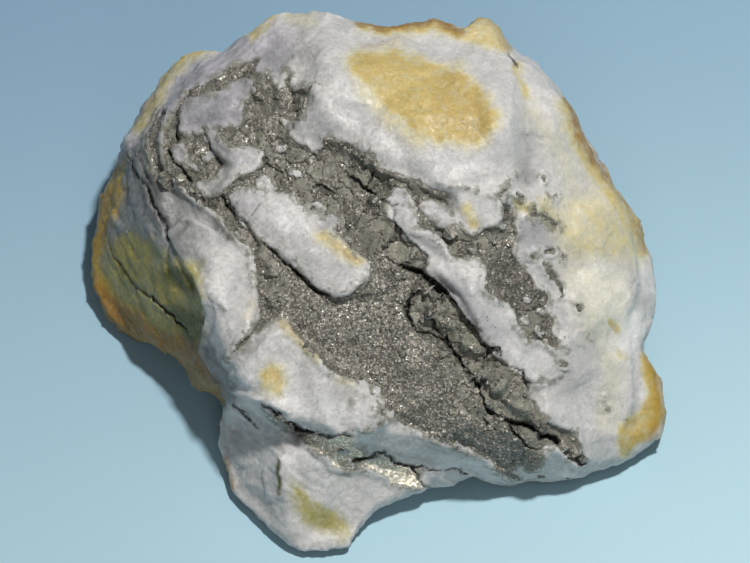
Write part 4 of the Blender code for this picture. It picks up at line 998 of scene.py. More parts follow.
def speckle_group():
    """Broken crystal faces: a shade and a tilted normal for each small cell."""
    tree, given, result = new_group(
        "broken crystal faces",
        [("Size", "NodeSocketFloat", 0.0005), ("Tilt", "NodeSocketFloat", 0.5)],
        [("Shade", "NodeSocketFloat"), ("Hue", "NodeSocketFloat"), ("Edge", "NodeSocketFloat"),
         ("Normal", "NodeSocketVector")],
    )
    place = object_place(tree, given.outputs["Size"])
    cells = add_node(tree, "TexVoronoi", {"feature": "F1"}, Vector=place, Scale=1.0)
    parts = add_node(tree, "SeparateColor", Color=cells.outputs["Color"])
    wire(tree, parts.outputs[0], result.inputs["Shade"])
    wire(tree, parts.outputs[1], result.inputs["Hue"])
    edge = add_node(tree, "TexVoronoi", {"feature": "DISTANCE_TO_EDGE"}, Vector=place, Scale=1.0)
    wire(tree, fitted(tree, edge.outputs["Distance"], 0.0, 0.12), result.inputs["Edge"])
    centred = vector_maths(tree, "SUBTRACT", cells.outputs["Color"], (0.5, 0.5, 0.5))
    lean = vector_maths(tree, "SCALE", centred, given.outputs["Tilt"])
    leaned = vector_maths(tree, "ADD", add_node(tree, "NewGeometry").outputs["Normal"], lean)
    unit = add_node(tree, "VectorMath", {"operation": "NORMALIZE"}, Vector=leaned)
    wire(tree, unit.outputs[0], result.inputs["Normal"])
    return tree


def use_group(tree, name, maker, **inputs):
    """Places a shared node group, which is made the first time."""
    group = bpy.data.node_groups.get(name) or maker()
    made = tree.nodes.new("ShaderNodeGroup")
    made.node_tree = group
    for label, value in inputs.items():
        wire(tree, value, made.inputs[label])
    return made


def new_material(name):
    """A material with an empty Principled shader."""
    made = bpy.data.materials.new(name)
    made.use_nodes = True
    return made, made.node_tree, made.node_tree.nodes["Principled BSDF"]


def quartz_material(colours):
    """Milky quartz, stained by weathering, with dark specks next to the ore, and with painted shade and
    light.
    """
    made, tree, shader = new_material("milky quartz")
    cloud = use_group(tree, "soft clouding", clouding_group, Size=0.007)
    coarse, middle, fine = (cloud.outputs[label] for label in ("Coarse", "Middle", "Fine"))
    grain = use_group(tree, "broken crystal faces", speckle_group, Size=0.0006, Tilt=0.16)
    broken = weighted(tree, 0.72, (middle, 0.5), (fine, 0.08))

    def soaked(name, most=1.0):
        """A mask of stain, tone, painted shade or painted light, broken up by the clouding."""
        return times(tree, times(tree, mask(tree, name), broken, clamp=True), most)

    colour = blend(tree, times(tree, coarse, 0.6), colours.white_quartz, colours.grey_quartz)
    # The slate tone is partly painted shade, the milk tone partly painted light
    for name, most, tone in (
        ("lilac", 0.9, colours.lilac_quartz),
        ("slate_and_shade", 0.95, colours.slate_and_shade_quartz),
        ("milk_and_light", 0.75, colours.milk_and_lit_quartz),
    ):
        colour = blend(tree, soaked(name, most), colour, tone)
    colour = toned(tree, colour, fitted(tree, mask(tree, "sheen"), -0.8, 0.8, 0.84, 1.1))
    ochre = soaked("ochre")
    colour = blend(tree, times(tree, ochre, 1.5, clamp=True), colour, colours.pale_stain)
    colour = blend(tree, fitted(tree, ochre, 0.4, 1.25), colour, colours.ochre_stain)
    for name, tone in (
        ("gold", colours.gold_stain),
        ("moss", colours.moss_stain),
        ("olive", colours.olive_stain),
        ("rust", colours.rust_stain),
    ):
        colour = blend(tree, soaked(name, 0.95), colour, tone)
    # Painted shade: darker in hollows, where shade falls
    hollow_shade = fitted(tree, weighted(tree, mask(tree, "hollow"), (fine, 0.2)), 0.3, 1.1)
    colour = blend(tree, times(tree, hollow_shade, 0.4), colour, colours.crack_dark_and_shade)
    near_ore = fitted(tree, mask(tree, "border"), -2.6, 0.2)
    specks = fitted(tree, times(tree, near_ore, grain.outputs["Shade"]), 0.58, 0.75)
    specks = times(tree, specks, fitted(tree, middle, 0.35, 0.6))
    colour = blend(tree, times(tree, specks, 0.7), colour, colours.ore_grey)
    smear = weighted(tree, 0.0, (mask(tree, "border"), 0.7), (middle, 1.7), (fine, 0.5))
    colour = blend(tree, fitted(tree, smear, 0.5, 1.7, 0.0, 0.7), colour, colours.ore_olive)
    # Painted shadow in the clefts and cracks
    colour = blend(tree, soaked("crack_shadow"), colour, colours.crack_dark_and_shade)
    mottling = weighted(tree, 0.74, (middle, 0.1), (fine, 0.1), (grain.outputs["Shade"], 0.14))
    wire(tree, toned(tree, colour, mottling), shader.inputs["Base Color"])
    wire(tree, weighted(tree, 0.35, (grain.outputs["Hue"], 0.35)), shader.inputs["Roughness"])
    sugar = weighted(tree, 0.0, (fine, 0.5), (grain.outputs["Shade"], 0.3))
    bump = add_node(tree, "Bump", Strength=0.3, Distance=0.0002, Height=sugar,
                    Normal=grain.outputs["Normal"])
    wire(tree, bump.outputs[0], shader.inputs["Normal"])
    shader.inputs["Subsurface Weight"].default_value = 0.65
    shader.inputs["Subsurface Scale"].default_value = 0.003
    shader.inputs["Subsurface Radius"].default_value = (1.0, 0.95, 0.9)
    shader.inputs["Specular IOR Level"].default_value = 0.5
    return made


def ore_material(name, colours, brown, lift):
    """Granular arsenopyrite: small bright faces in a dull olive-grey ground, broader where it is coarse.

    Brown is how rusty it is, and lift is painted light: it is added to the tone of ore that lies in the
    shade.
    """
    made, tree, shader = new_material(name)
    dull, pit_and_shade, fine = (mask(tree, label) for label in ("dull", "pit_and_shade", "fine"))
    lively = weighted(tree, 1.0, (dull, -0.8))
    tilt = times(tree, lively, 0.45)
    small = use_group(tree, "broken crystal faces", speckle_group, Size=0.0004, Tilt=tilt)
    broad = use_group(tree, "broken crystal faces", speckle_group, Size=0.0013, Tilt=0.4)
    cloud = use_group(tree, "soft clouding", clouding_group, Size=0.004)
    middle = cloud.outputs["Middle"]
    share = fitted(tree, fine, 0.0, 1.0, 0.45, 1.0)
    glint = fitted(tree, blend(tree, share, broad.outputs["Shade"], small.outputs["Shade"]), 0.45, 1.0)
    colour = blend(tree, times(tree, glint, lively), colours.ore_grey, colours.ore_bright)
    warm = fitted(tree, small.outputs["Hue"], 0.7, 1.0)
    colour = blend(tree, times(tree, warm, lively), colour, colours.ore_warm)
    ground = weighted(tree, 0.0, (middle, 0.35), (dull, 0.45))
    colour = blend(tree, ground, colour, colours.ore_olive)
    colour = blend(tree, times(tree, brown, middle), colour, colours.rust_stain)
    between = times(tree, weighted(tree, 1.0, (small.outputs["Edge"], -1.0)), lively)
    colour = blend(tree, times(tree, between, 0.6), colour, colours.crack_dark_and_shade)
    colour = toned(tree, colour, fitted(tree, mask(tree, "tint"), 0.0, 1.0, 0.56 + lift, 1.26 + lift))
    # The pits are dark cracks between crystals, and painted shadow in the clefts
    wire(tree, blend(tree, pit_and_shade, colour, colours.crack_dark_and_shade), shader.inputs["Base Color"])
    gloss = fitted(tree, small.outputs["Hue"], 0.0, 1.0, 0.32, 0.62)
    wire(tree, weighted(tree, gloss, (dull, 0.25)), shader.inputs["Roughness"])
    metal = times(tree, weighted(tree, 1.0, (pit_and_shade, -1.0)), times(tree, lively, 0.24))
    wire(tree, metal, shader.inputs["Metallic"])
    normal = blend(tree, share, broad.outputs["Normal"], small.outputs["Normal"])
    wire(tree, normal, shader.inputs["Normal"])
    return made


# Where the floor's painted shade changes, in metres: from front to back and from left to right
FLOOR_SHADE_DEPTH = (-0.09, 0.1)
FLOOR_SHADE_SIDE = (-0.09, 0.09)
FLOOR_LEFT_SHADE = (0.8, 0.82, 0.86, 1)
FLOOR_RIGHT = (1, 1, 1, 1)


def floor_material(near, far):
    """A pale card with painted shade: darker towards the back and the left."""
    made, tree, shader = new_material("pale floor")
    place = add_node(tree, "SeparateXYZ", Vector=add_node(tree, "TexCoord").outputs["Object"])
    colour = blend(tree, fitted(tree, place.outputs["Y"], *FLOOR_SHADE_DEPTH), near, far)
    side_shade = blend(tree, fitted(tree, place.outputs["X"], *FLOOR_SHADE_SIDE), FLOOR_LEFT_SHADE, FLOOR_RIGHT)
    colour = blend(tree, 1.0, colour, side_shade, "MULTIPLY")
    wire(tree, colour, shader.inputs["Base Color"])
    shader.inputs["Roughness"].default_value = 0.8
    shader.inputs["Specular IOR Level"].default_value = 0.2
    return made


# ---------------------------------------------------------------- settings


def length(name, description, default):
    return bpy.props.FloatProperty(
        name=name, description=description, default=default, min=0.0, precision=5,
        unit="LENGTH", subtype="DISTANCE",
    )


def shade(name, description, default):
    return bpy.props.FloatVectorProperty(
        name=name, description=description, default=default + (1.0,), size=4, min=0.0, max=1.0,
        subtype="COLOR",
    )


class SpecimenSizes(bpy.types.PropertyGroup):
    """Sizes of the rock's skin, relief and grains."""

    quartz_detail: length("Quartz detail", "Size of the quartz skin's faces", 0.00052)
    ore_detail: length("Ore detail", "Size of the ore skin's faces", 0.00032)
    join_swell: length("Join swell", "How much the ore grows to close the gap to the quartz", 0.00035)
    gap_closing: length("Gap closing", "Half the width of the gaps that the skin closes", 0.0006)
    ragged: length("Ragged border", "How far the ore's border strays", 0.0003)
    ore_bed: length("Ore bed", "How far the quartz drops under the ore", 0.0018)
    ore_wall: length("Ore wall", "Thickness of the ore's crust", 0.0007)
    quartz_relief: length("Quartz relief", "Height of the quartz's broad lumps", 0.0002)
    grain: length("Grain", "Middle size of the fine grains", 0.0007)
    crystal: length("Crystal", "Middle size of the coarse crystals", 0.0015)


class SpecimenColours(bpy.types.PropertyGroup):
    """Colours of the minerals and their stains, and of painted shade and light."""

    white_quartz: shade("White quartz", "Clean milky quartz", (0.555, 0.546, 0.53))
    grey_quartz: shade("Grey quartz", "Clouded quartz", (0.465, 0.456, 0.447))
    # Also painted light, on a lit facet and on slopes made lighter
    milk_and_lit_quartz: shade("Bright quartz", "The whitest quartz", (0.84, 0.84, 0.84))
    lilac_quartz: shade("Lilac quartz", "Layered quartz", (0.32, 0.305, 0.35))
    # Also painted shade, on the flank, the foot and the sides turned from the light
    slate_and_shade_quartz: shade("Slate quartz", "Blue-grey quartz", (0.125, 0.135, 0.132))
    pale_stain: shade("Pale stain", "Thin yellow iron stain", (0.58, 0.54, 0.35))
    ochre_stain: shade("Ochre stain", "Yellow iron stain", (0.49, 0.36, 0.10))
    gold_stain: shade("Gold stain", "Brownish yellow stain", (0.42, 0.285, 0.035))
    moss_stain: shade("Moss stain", "Greenish yellow stain", (0.31, 0.29, 0.085))
    rust_stain: shade("Rust stain", "Brown iron stain", (0.28, 0.155, 0.03))
    olive_stain: shade("Olive stain", "Olive-brown stain", (0.11, 0.105, 0.02))
    # Dark joints and cracks, and also painted shade in hollows and painted shadow in clefts
    crack_dark_and_shade: shade("Crack", "Dirt in cracks", (0.012, 0.012, 0.011))
    ore_grey: shade("Ore", "Dull arsenopyrite", (0.19, 0.182, 0.152))
    ore_olive: shade("Ore ground", "Olive-grey ore between the grains", (0.17, 0.17, 0.13))
    ore_bright: shade("Ore face", "Bright crystal face", (0.44, 0.42, 0.38))
    ore_warm: shade("Ore warm face", "Crystal face with a warm tarnish", (0.40, 0.35, 0.29))


class StageSettings(bpy.types.PropertyGroup):
    """The floor, the lights and the camera."""

    # The floor's colours paint its light: lit in front, shaded at the back
    floor_lit_front: shade("Near floor", "Colour of the pale floor in front", (0.42, 0.61, 0.67))
    floor_shaded_back: shade("Far floor", "Colour of the pale floor behind", (0.22, 0.35, 0.46))
    key_power: bpy.props.FloatProperty(
        name="Key light", description="Power of the soft key light", default=8.4, unit="POWER",
        subtype="POWER",
    )
    fill_power: bpy.props.FloatProperty(
        name="Fill light", description="Power of the fill light", default=1.2, unit="POWER",
        subtype="POWER",
    )
    sky_strength: bpy.props.FloatProperty(
        name="Sky", description="Strength of the even light all round", default=0.16,
    )
    camera_distance: length("Camera distance", "From the camera to the face", 1.6)
    field_width: length("Field width", "Width of the view at the face", 0.1425)


def sizes():
    return bpy.context.scene.specimen_sizes


def colours():
    return bpy.context.scene.specimen_colours


def take_over(piece, nodes):
    """Attaches a piece to the root and hides the solids that it dresses."""
    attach(piece, "root")
    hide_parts(*nodes)


# ---------------------------------------------------------------- pieces


# Relief, in mm: sizes of the broken faces, and steps and lifts of the surface
QUARTZ_FLAT, QUARTZ_CHIP = 5.5, 1.7
ORE_COARSE, ORE_MIDDLE, ORE_SMALL = 3.0, 1.2, 0.65
GRIT_HEIGHT = 0.05
SHEET_WIDTH = 2.1
SHEET_STEP = 0.14
STREAK_HEIGHT = 0.07
BORDER_LIFT = 0.5
VEIN_EDGE_LIFT = 0.9
VEIN_MIDDLE_LIFT = 0.45
DOME_LIFT = 0.9
RIM_LIFT = 0.35
ORE_DROP = 0.1
ORE_ENDS = -1.0  # this far outside its border the ore's crust ends
END_DROP = 0.4  # under the ore's bed, for the crust's end
GAP_WIDTH = 0.3
GAP_DEPTH = 0.3
FOOT_SHIFT = 1.9
FOOT_WAY = np.array([-0.45, -0.78, -0.43])

FACET_TILT = 0.13  # slope of the quartz's broken faces
HIDDEN_SHARE = 0.62  # of the quartz's hidden faces, how many stay
INNER_SHARE = 0.6  # of the crust's inner faces, how many stay


def sheet_levels(places, points, turn, seed):
    """Levels across sheets that run at an angle, and streaks drawn out along them."""
    cosine, sine = math.cos(math.radians(turn)), math.sin(math.radians(turn))
    along = (places[:, 0] * cosine - places[:, 1] * sine) * GRID_SQUARE
    across = (places[:, 0] * sine + places[:, 1] * cosine) * GRID_SQUARE
    waves = rough(np.stack([along / 2.5, across, along * 0], 1), 5.0, seed, octaves=2)
    drawn = np.stack([along / 5.5, across, points[:, 1] * 0.2], 1)
    return across / SHEET_WIDTH + waves * 0.8, rough(drawn, 1.5, seed + 5, gain=0.65)


def quartz_relief(points, places):
    """Height of the quartz over its skin, and the streaks along its sheets."""
    height = rough(points, 8.0, QUARTZ_LUMP_SEED, octaves=2) * sizes().quartz_relief / MM
    bent = points + wander(points, 3.0, 0.8, QUARTZ_BEND_SEEDS)
    flats, _, _ = facet_heights(bent, QUARTZ_FLAT, QUARTZ_FLAT_SEED, FACET_TILT)
    chips, _, _ = facet_heights(bent, QUARTZ_CHIP, QUARTZ_CHIP_SEED, FACET_TILT)
    height += flats * 0.28 + chips * 0.24
    height += rough(points, 1.1, QUARTZ_GRIT_SEED, octaves=2) * GRIT_HEIGHT
    sheen = np.zeros(len(points))
    for number, (turn, outline) in enumerate(LAYERED_QUARTZ):
        sheets = patch(places, outline, 14)
        level, streaks = sheet_levels(places, points, turn, SHEET_SEED + 20 * number)
        part = np.mod(level, 1.0)
        step = ease(part, 0.0, 0.8) - ease(part, 0.82, 1.0) - 0.4
        height += sheets * (step * SHEET_STEP + streaks * STREAK_HEIGHT)
        sheen += sheets * streaks
    return height, sheen


def crisp_edges(places, field):
    """How far the quartz is raised beside the ore and along the edges of its masses, in mm."""
    lift = BORDER_LIFT * (1 - ease(-field, 0.0, 1.2))
    for height, width, outline in CRISP_MASSES:
        depth = outline_depth(places, outline)
        edge = ease(depth, -2.5, 0.5) * (1 - ease(depth, 0.5, width))
        lift = np.maximum(lift, height * edge * ease(-field, 1.5, 2.5))
    vein = VEIN_EDGE_LIFT * streak(places, VEIN_EDGE, 8, 7)
    vein += VEIN_MIDDLE_LIFT * streak(places, VEIN_MIDDLE, 3, 5)
    return lift + vein * ease(-field, -0.3, 0.2)


class SPECIMEN_OT_quartz(bpy.types.Operator):
    """Builds the quartz body with its relief and stains"""

    bl_idname = "specimen.quartz"
    bl_label = "Quartz"

    def execute(self, context):
        size = sizes()
        body = rock_skin("quartz_body", size.quartz_detail, smoothing=3)
        hidden = normals_of(body.data) @ FACE_OUT < HIDDEN_TURN
        thin_out(body, hidden, ratio=HIDDEN_SHARE)
        mesh = body.data
        points, normals = points_of(mesh), normals_of(mesh)
        places, _ = face_places(points)
        field = ore_field(points, normals, size.ragged / MM)
        covered = ease(field, 0.1, 1.7)
        facing = ease(normals @ FACE_OUT, *RELIEF_TURN)
        cleft, dark = cleft_depths(points, places)
        relief, sheen = quartz_relief(points, places)
        flank = 1 - ease(normals @ FACE_OUT, *CALM_TURN)
        relief += flank * (relief + rough(points, 2.4, FLANK_LUMP_SEED) * 0.25)
        calm = 1 - ease(field, -3.0, 0.0) * 0.6
        height = relief * calm + crisp_edges(places, field) * facing
        height = height * (1 - covered) - covered * size.ore_bed / MM
        # The clefts' darkness goes onto the quartz as painted shadow
        quartz_masks(mesh, points, normals, field, dark * facing)
        set_mask(mesh, "sheen", sheen)
        moved = points + normals * height[:, None] - FACE_OUT * (cleft * facing)[:, None]
        moved += FOOT_WAY * (streak(places, FLANK_FOOT, 9, 13) * FOOT_SHIFT)[:, None]
        move_points(mesh, moved)
        mesh.shade_smooth()
        mesh.materials.append(quartz_material(colours()))
        take_over(body, [QUARTZ_NODE])
        return {"FINISHED"}


def ore_relief(points, places, field):
    """Height of the ore over its skin, and its masks: dark cracks, dull faces, fine grain and tint."""
    fine = np.maximum(patch(places, GRANULAR_FLAT, 8), patch(places, LOWER_ORE, 8))
    fine = np.maximum(fine, patch(places, DARK_ORE, 8) * 0.7)
    ledge = patch(places, COARSE_LEDGE, 6)
    bent = points + wander(points, 2.0, 0.35, ORE_BEND_SEEDS, octaves=2)
    coarse, inside, owner = facet_heights(bent, ORE_COARSE, ORE_COARSE_SEED, 0.2)
    split = lattice(owner, ORE_SPLIT_SEED) > 0.5
    gap = np.where(split, ease(GAP_WIDTH - inside, 0.0, GAP_WIDTH), 0.0) * (1 - fine)
    middle, middle_inside, _ = facet_heights(points, ORE_MIDDLE, ORE_MIDDLE_SEED, 0.3)
    small, _, _ = facet_heights(points, ORE_SMALL, ORE_SMALL_SEED, 0.4)
    crystals, crystal_inside, on_crystal, crystal_tone = crystal_heights(places + (bent - points)[:, :2] * 5)
    block = on_crystal * ease(field, 0.2, 0.9)
    smooth = lattice(owner, ORE_DULL_SEED) > 0.62
    dull = np.where(smooth, ease(inside, 0.0, 0.4), 0.0) * (1 - fine)
    dull = np.maximum(dull * 0.7, ease(crystal_inside, 0.03, 0.2) * block * 0.8)
    grainy = (middle * 0.35 + small * 0.3) * (1 - 0.75 * dull)
    chunky = coarse * 0.55 - gap * GAP_DEPTH
    granular = rough(points, 5.0, ORE_LUMP_SEED, octaves=2) * 0.2 + middle * 0.3 + small * 0.45
    ground = chunky * (1 - fine) + granular * fine
    height = ground * (1 - block) + (crystals - 0.35) * block + grainy * (1 - fine * (1 - block))
    outlines = (1 - ease(crystal_inside, 0.0, 0.1)) * block * (0.25 + 0.45 * ledge)
    pit_and_shade = np.maximum(outlines, gap * 0.35 * (1 - block))
    pit_and_shade = np.maximum(pit_and_shade, ease(0.1 - middle_inside, 0.0, 0.1) * 0.3)
    cell_tone = (lattice(owner, ORE_TONE_SEED) - 0.5) * 0.35 * (1 - fine)
    tint = rough(points, 3.0, ORE_TINT_SEED) * 0.2 + 0.5 + cell_tone
    tint = tint * (1 - block) + (0.45 + crystal_tone * 0.5) * block - patch(places, DARK_ORE, 9) * 0.5
    return height, {"pit_and_shade": pit_and_shade, "dull": np.clip(dull, 0, 1), "fine": fine * (1 - block), "tint": tint}


def ore_crust(name, skin, field, wanted, nodes):
    """One closed crust of ore, cut from the skin where the wanted faces are."""
    mesh = skin.data.copy()
    crust = add_object(name, mesh)
    select_only(crust)
    bpy.ops.object.mode_set(mode="EDIT")
    bpy.ops.mesh.select_mode(type="VERT")
    bpy.ops.mesh.select_all(action="DESELECT")
    bpy.ops.object.mode_set(mode="OBJECT")
    mesh.vertices.foreach_set("select", ~wanted | (field <= ORE_ENDS))
    bpy.ops.object.mode_set(mode="EDIT")
    bpy.ops.mesh.delete(type="VERT")
    bpy.ops.mesh.select_all(action="SELECT")
    bpy.ops.mesh.delete_loose()
    bpy.ops.object.mode_set(mode="OBJECT")
    outer = len(mesh.vertices)
    finish_with(crust, "SOLIDIFY", thickness=sizes().ore_wall, offset=-1.0)
    inner = np.arange(len(crust.data.vertices)) >= outer
    thin_out(crust, inner, ratio=INNER_SHARE)
    take_over(crust, nodes)
    return crust


class SPECIMEN_OT_ore(bpy.types.Operator):
    """Builds the crusts of granular ore in the seam and the lower seam"""

    bl_idname = "specimen.ore"
    bl_label = "Ore seams"

    def execute(self, context):
        size = sizes()
        skin = rock_skin("ore skin", size.ore_detail, smoothing=2)
        mesh = skin.data
        points, normals = points_of(mesh), normals_of(mesh)
        field = ore_field(points, normals, size.ragged / MM)
        places, _ = face_places(points)
        height, masks = ore_relief(points, places, field)
        cleft, dark = cleft_depths(points, places)
        facing = ease(normals @ FACE_OUT, *RELIEF_TURN)
        rim = ease(field, ORE_ENDS, 0.15)
        edge = ease(field, 0.0, 1.2) * 0.6 + 0.4
        raised = RIM_LIFT * (1 - ease(field, 0.2, 1.4)) + DOME_LIFT * streak(places, DOME_FOOT, 5, 8)
        sunk = (1 - rim) * (size.ore_bed / MM + END_DROP)
        height = (height * edge - ORE_DROP + raised) * rim - sunk
        # Painted shadow of the clefts joins the dark cracks
        masks["pit_and_shade"] = np.maximum(masks["pit_and_shade"], dark * facing)
        for name, amount in masks.items():
            set_mask(mesh, name, amount)
        moved = points + normals * height[:, None] - FACE_OUT * (cleft * facing)[:, None]
        move_points(mesh, moved)
        mesh.shade_flat()
        lower = distances(solid_tree(LOWER_NODE), points) < distances(solid_tree(SEAM_NODE), points)
        seam = ore_crust("ore_crust", skin, field, ~lower, [SEAM_NODE])
        seam.data.materials.append(ore_material("granular ore", colours(), brown=0.0, lift=0.0))
        under = ore_crust("ore_lower_crust", skin, field, lower, [LOWER_NODE])
        # The lower seam is painted lighter, as it lies in the shade of the block
        under.data.materials.append(ore_material("browned granular ore with painted light", colours(), brown=0.1, lift=2.5))
        bpy.data.objects.remove(skin)
        return {"FINISHED"}


CRYSTAL_FORMS = 5
GRAINS = 7500
CRYSTALS = 160


def crystal_shapes():
    """A few crystal forms, each a closed shell about 1 across: points and triangles."""
    forms = []
    for number in range(CRYSTAL_FORMS):
        rng = np.random.default_rng(FORM_SEED + number)
        mesh = bpy.data.meshes.new("crystal form")
        wide, long = 0.42 + 0.1 * rng.random(2)
        ring = [(wide, 0), (0, long), (-wide, 0), (0, -long)]
        corners = [(x, y, z) for x, y in ring for z in (-0.32, 0.32)]
        corners += [(0.2, 0, 0.52), (-0.2, 0, 0.5), (0.16, 0.1, -0.5), (-0.2, -0.1, -0.52)]
        jitter = (rng.random((len(corners), 3)) - 0.5) * 0.16
        mesh.from_pydata((np.array(corners) + jitter).tolist(), [], [])
        form = add_object("crystal form", mesh)
        select_only(form)
        bpy.ops.object.mode_set(mode="EDIT")
        bpy.ops.mesh.select_all(action="SELECT")
        bpy.ops.mesh.convex_hull()
        bpy.ops.mesh.quads_convert_to_tris()
        bpy.ops.object.mode_set(mode="OBJECT")
        points = np.array([v.co for v in mesh.vertices])
        faces = np.array([f.vertices for f in mesh.polygons if len(f.vertices) == 3])
        forms.append((points, faces))
        bpy.data.objects.remove(form)
        bpy.data.meshes.remove(mesh)
    return forms


def turns(rng, count):
    """Random rotations, as matrices."""
    q = rng.normal(size=(count, 4))
    q /= np.linalg.norm(q, axis=1)[:, None]
    w, x, y, z = q.T
    rows = [
        [1 - 2 * (y * y + z * z), 2 * (x * y - z * w), 2 * (x * z + y * w)],
        [2 * (x * y + z * w), 1 - 2 * (x * x + z * z), 2 * (y * z - x * w)],
        [2 * (x * z - y * w), 2 * (y * z + x * w), 1 - 2 * (x * x + y * y)],
    ]
    return np.array(rows).transpose(2, 0, 1)


def crystal_cluster(name, places, widths, tints, rng, nodes, material):
    """One mesh of many crystals at the given places."""
    forms = crystal_shapes()
    choice = rng.integers(0, len(forms), len(places))
    spin = turns(rng, len(places))
    all_points, all_faces, all_tints = [], [], []
    start = 0
    for index, (points, faces) in enumerate(forms):
        here = np.flatnonzero(choice == index)
        made = np.einsum("nij,pj->npi", spin[here], points) * widths[here, None, None]
        made += places[here, None, :]
        all_points.append(made.reshape(-1, 3))
        steps = start + np.arange(len(here)) * len(points)
        all_faces.append((faces[None] + steps[:, None, None]).reshape(-1, 3))
        all_tints.append(np.repeat(tints[here], len(points)))
        start += len(here) * len(points)
    mesh = bpy.data.meshes.new(name)
    mesh.from_pydata((np.concatenate(all_points) * MM).tolist(), [], np.concatenate(all_faces).tolist())
    move_points(mesh, points_of(mesh))
    set_mask(mesh, "tint", np.concatenate(all_tints))
    set_mask(mesh, "fine", np.ones(len(mesh.vertices)))
    mesh.materials.append(material)
    take_over(add_object(name, mesh), nodes)


def crust_faces(crust):
    """Centres, normals and areas of a crust's faces, in mm."""
    mesh = crust.data
    count = len(mesh.polygons)
    centre, normal, area = np.empty(count * 3), np.empty(count * 3), np.empty(count)
    mesh.polygons.foreach_get("center", centre)
    mesh.polygons.foreach_get("normal", normal)
    mesh.polygons.foreach_get("area", area)
    return centre.reshape(-1, 3) / MM, normal.reshape(-1, 3), area / MM**2


class SPECIMEN_OT_grains(bpy.types.Operator):
    """Scatters grains and crystals over the ore"""

    bl_idname = "specimen.grains"
    bl_label = "Grains and crystals"

    def execute(self, context):
        size = sizes()
        rng = np.random.default_rng(SCATTER_SEED)
        centre, normal, area = crust_faces(bpy.data.objects["ore_crust"])
        places, _ = face_places(centre)
        skin = distances(solid_tree(SEAM_NODE, QUARTZ_NODE), centre)
        fine = patch(places, GRANULAR_FLAT, 8)
        ledge = patch(places, COARSE_LEDGE, 6)
        open_cleft = cleft_depths(centre, places)[1] > 0.05
        outer = (skin < 0.9) & (centre[:, 2] > 1.0) & ~open_cleft
        material = bpy.data.materials["granular ore"]
        for name, count, crowding, width, sink in (
            ("ore_grains", GRAINS, 0.3 + fine, size.grain / MM, 0.32),
            ("ore_crystals", CRYSTALS, 0.5 * (1 - fine) + ledge, size.crystal / MM, 0.4),
        ):
            weight = area * outer * crowding
            chosen = rng.choice(len(centre), count, replace=False, p=weight / weight.sum())
            widths = width * np.exp(rng.normal(0, 0.3, count))
            spots = centre[chosen] - normal[chosen] * (widths * sink)[:, None]
            crystal_cluster(name, spots, widths, rng.random(count), rng, [SEAM_NODE], material)
        return {"FINISHED"}


# Places on the stage, and sizes, in metres
LIT_POINT = (0.0, 0.0, 0.02)
KEY_PLACE, KEY_SIZE = (0.18, 0.03, 0.88), 0.07
FILL_PLACE, FILL_SIZE = (0.1, -0.9, 0.7), 0.5
FLOOR_SIZE = 6.0
SENSOR_WIDTH = 36.0  # mm


def add_area_light(name, place, power, size, colour):
    bpy.ops.object.light_add(type="AREA", location=place)
    lamp = bpy.context.object
    lamp.name = name
    lamp.data.energy = power
    lamp.data.shape = "DISK"
    lamp.data.size = size
    lamp.data.color = colour
    lamp.rotation_euler = (Vector(LIT_POINT) - Vector(place)).to_track_quat("-Z", "Y").to_euler()


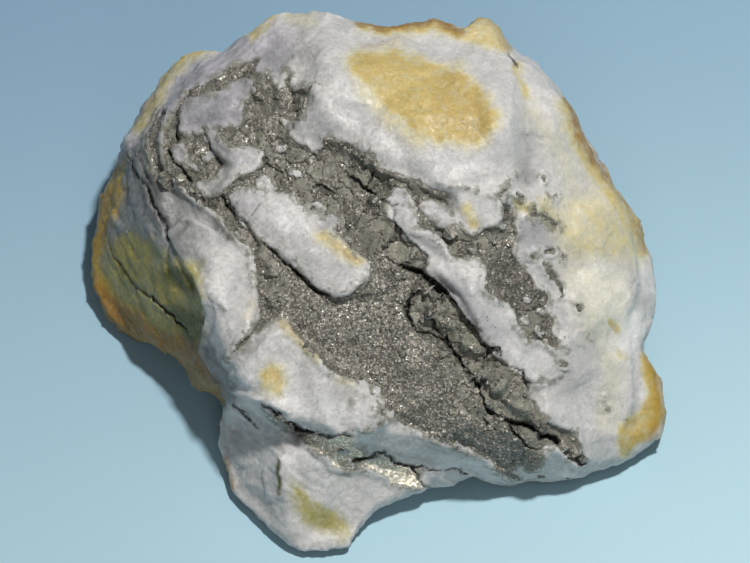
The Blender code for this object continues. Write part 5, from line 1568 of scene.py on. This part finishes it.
class SPECIMEN_OT_stage(bpy.types.Operator):
    """Sets up the pale floor, the lights and the camera"""

    bl_idname = "specimen.stage"
    bl_label = "Stage"

    def execute(self, context):
        settings = context.scene.specimen_stage
        bpy.ops.mesh.primitive_plane_add(size=FLOOR_SIZE)
        floor = bpy.context.object
        floor.name = "floor"
        floor.data.materials.append(floor_material(settings.floor_lit_front, settings.floor_shaded_back))
        add_area_light("key", KEY_PLACE, settings.key_power, KEY_SIZE, (1.0, 0.98, 0.95))
        add_area_light("fill", FILL_PLACE, settings.fill_power, FILL_SIZE, (0.97, 0.98, 1.0))
        world = bpy.data.worlds.new("even light")
        world.use_nodes = True
        background = world.node_tree.nodes["Background"]
        background.inputs["Color"].default_value = (0.93, 0.96, 1.0, 1.0)
        background.inputs["Strength"].default_value = settings.sky_strength
        context.scene.world = world
        context.scene.view_settings.view_transform = "Standard"
        back = Vector(FACE_OUT)
        up_face = Vector((0, math.sin(FACE_LEAN), math.cos(FACE_LEAN)))
        aim = (up_face * FACE_MIDDLE + back * FACE_LEVEL + Vector((FACE_SIDE, 0, 0))) * MM
        bpy.ops.object.camera_add(location=aim + back * settings.camera_distance)
        camera = bpy.context.object
        camera.name = "camera"
        camera.rotation_euler = (-back).to_track_quat("-Z", "Y").to_euler()
        camera.data.sensor_width = SENSOR_WIDTH
        camera.data.lens = SENSOR_WIDTH * settings.camera_distance / settings.field_width
        context.scene.camera = camera
        return {"FINISHED"}


class SPECIMEN_PT_parts(bpy.types.Panel):
    """Lists the pieces of the specimen"""

    bl_label = "Arsenopyrite with quartz"
    bl_idname = "SPECIMEN_PT_parts"
    bl_space_type = "VIEW_3D"
    bl_region_type = "UI"
    bl_category = "Specimen"

    def draw(self, context):
        for operator in OPERATORS:
            self.layout.operator(operator.bl_idname)


OPERATORS = (SPECIMEN_OT_quartz, SPECIMEN_OT_ore, SPECIMEN_OT_grains, SPECIMEN_OT_stage)
CLASSES = (SpecimenSizes, SpecimenColours, StageSettings, *OPERATORS, SPECIMEN_PT_parts)


def register():
    for cls in CLASSES:
        bpy.utils.register_class(cls)
    bpy.types.Scene.specimen_sizes = bpy.props.PointerProperty(type=SpecimenSizes)
    bpy.types.Scene.specimen_colours = bpy.props.PointerProperty(type=SpecimenColours)
    bpy.types.Scene.specimen_stage = bpy.props.PointerProperty(type=StageSettings)


def unregister():
    del bpy.types.Scene.specimen_stage
    del bpy.types.Scene.specimen_colours
    del bpy.types.Scene.specimen_sizes
    for cls in reversed(CLASSES):
        bpy.utils.unregister_class(cls)


def main():
    register()
    bpy.ops.specimen.quartz()
    bpy.ops.specimen.ore()
    bpy.ops.specimen.grains()
    bpy.ops.specimen.stage()


if __name__ == "__main__":
    main()
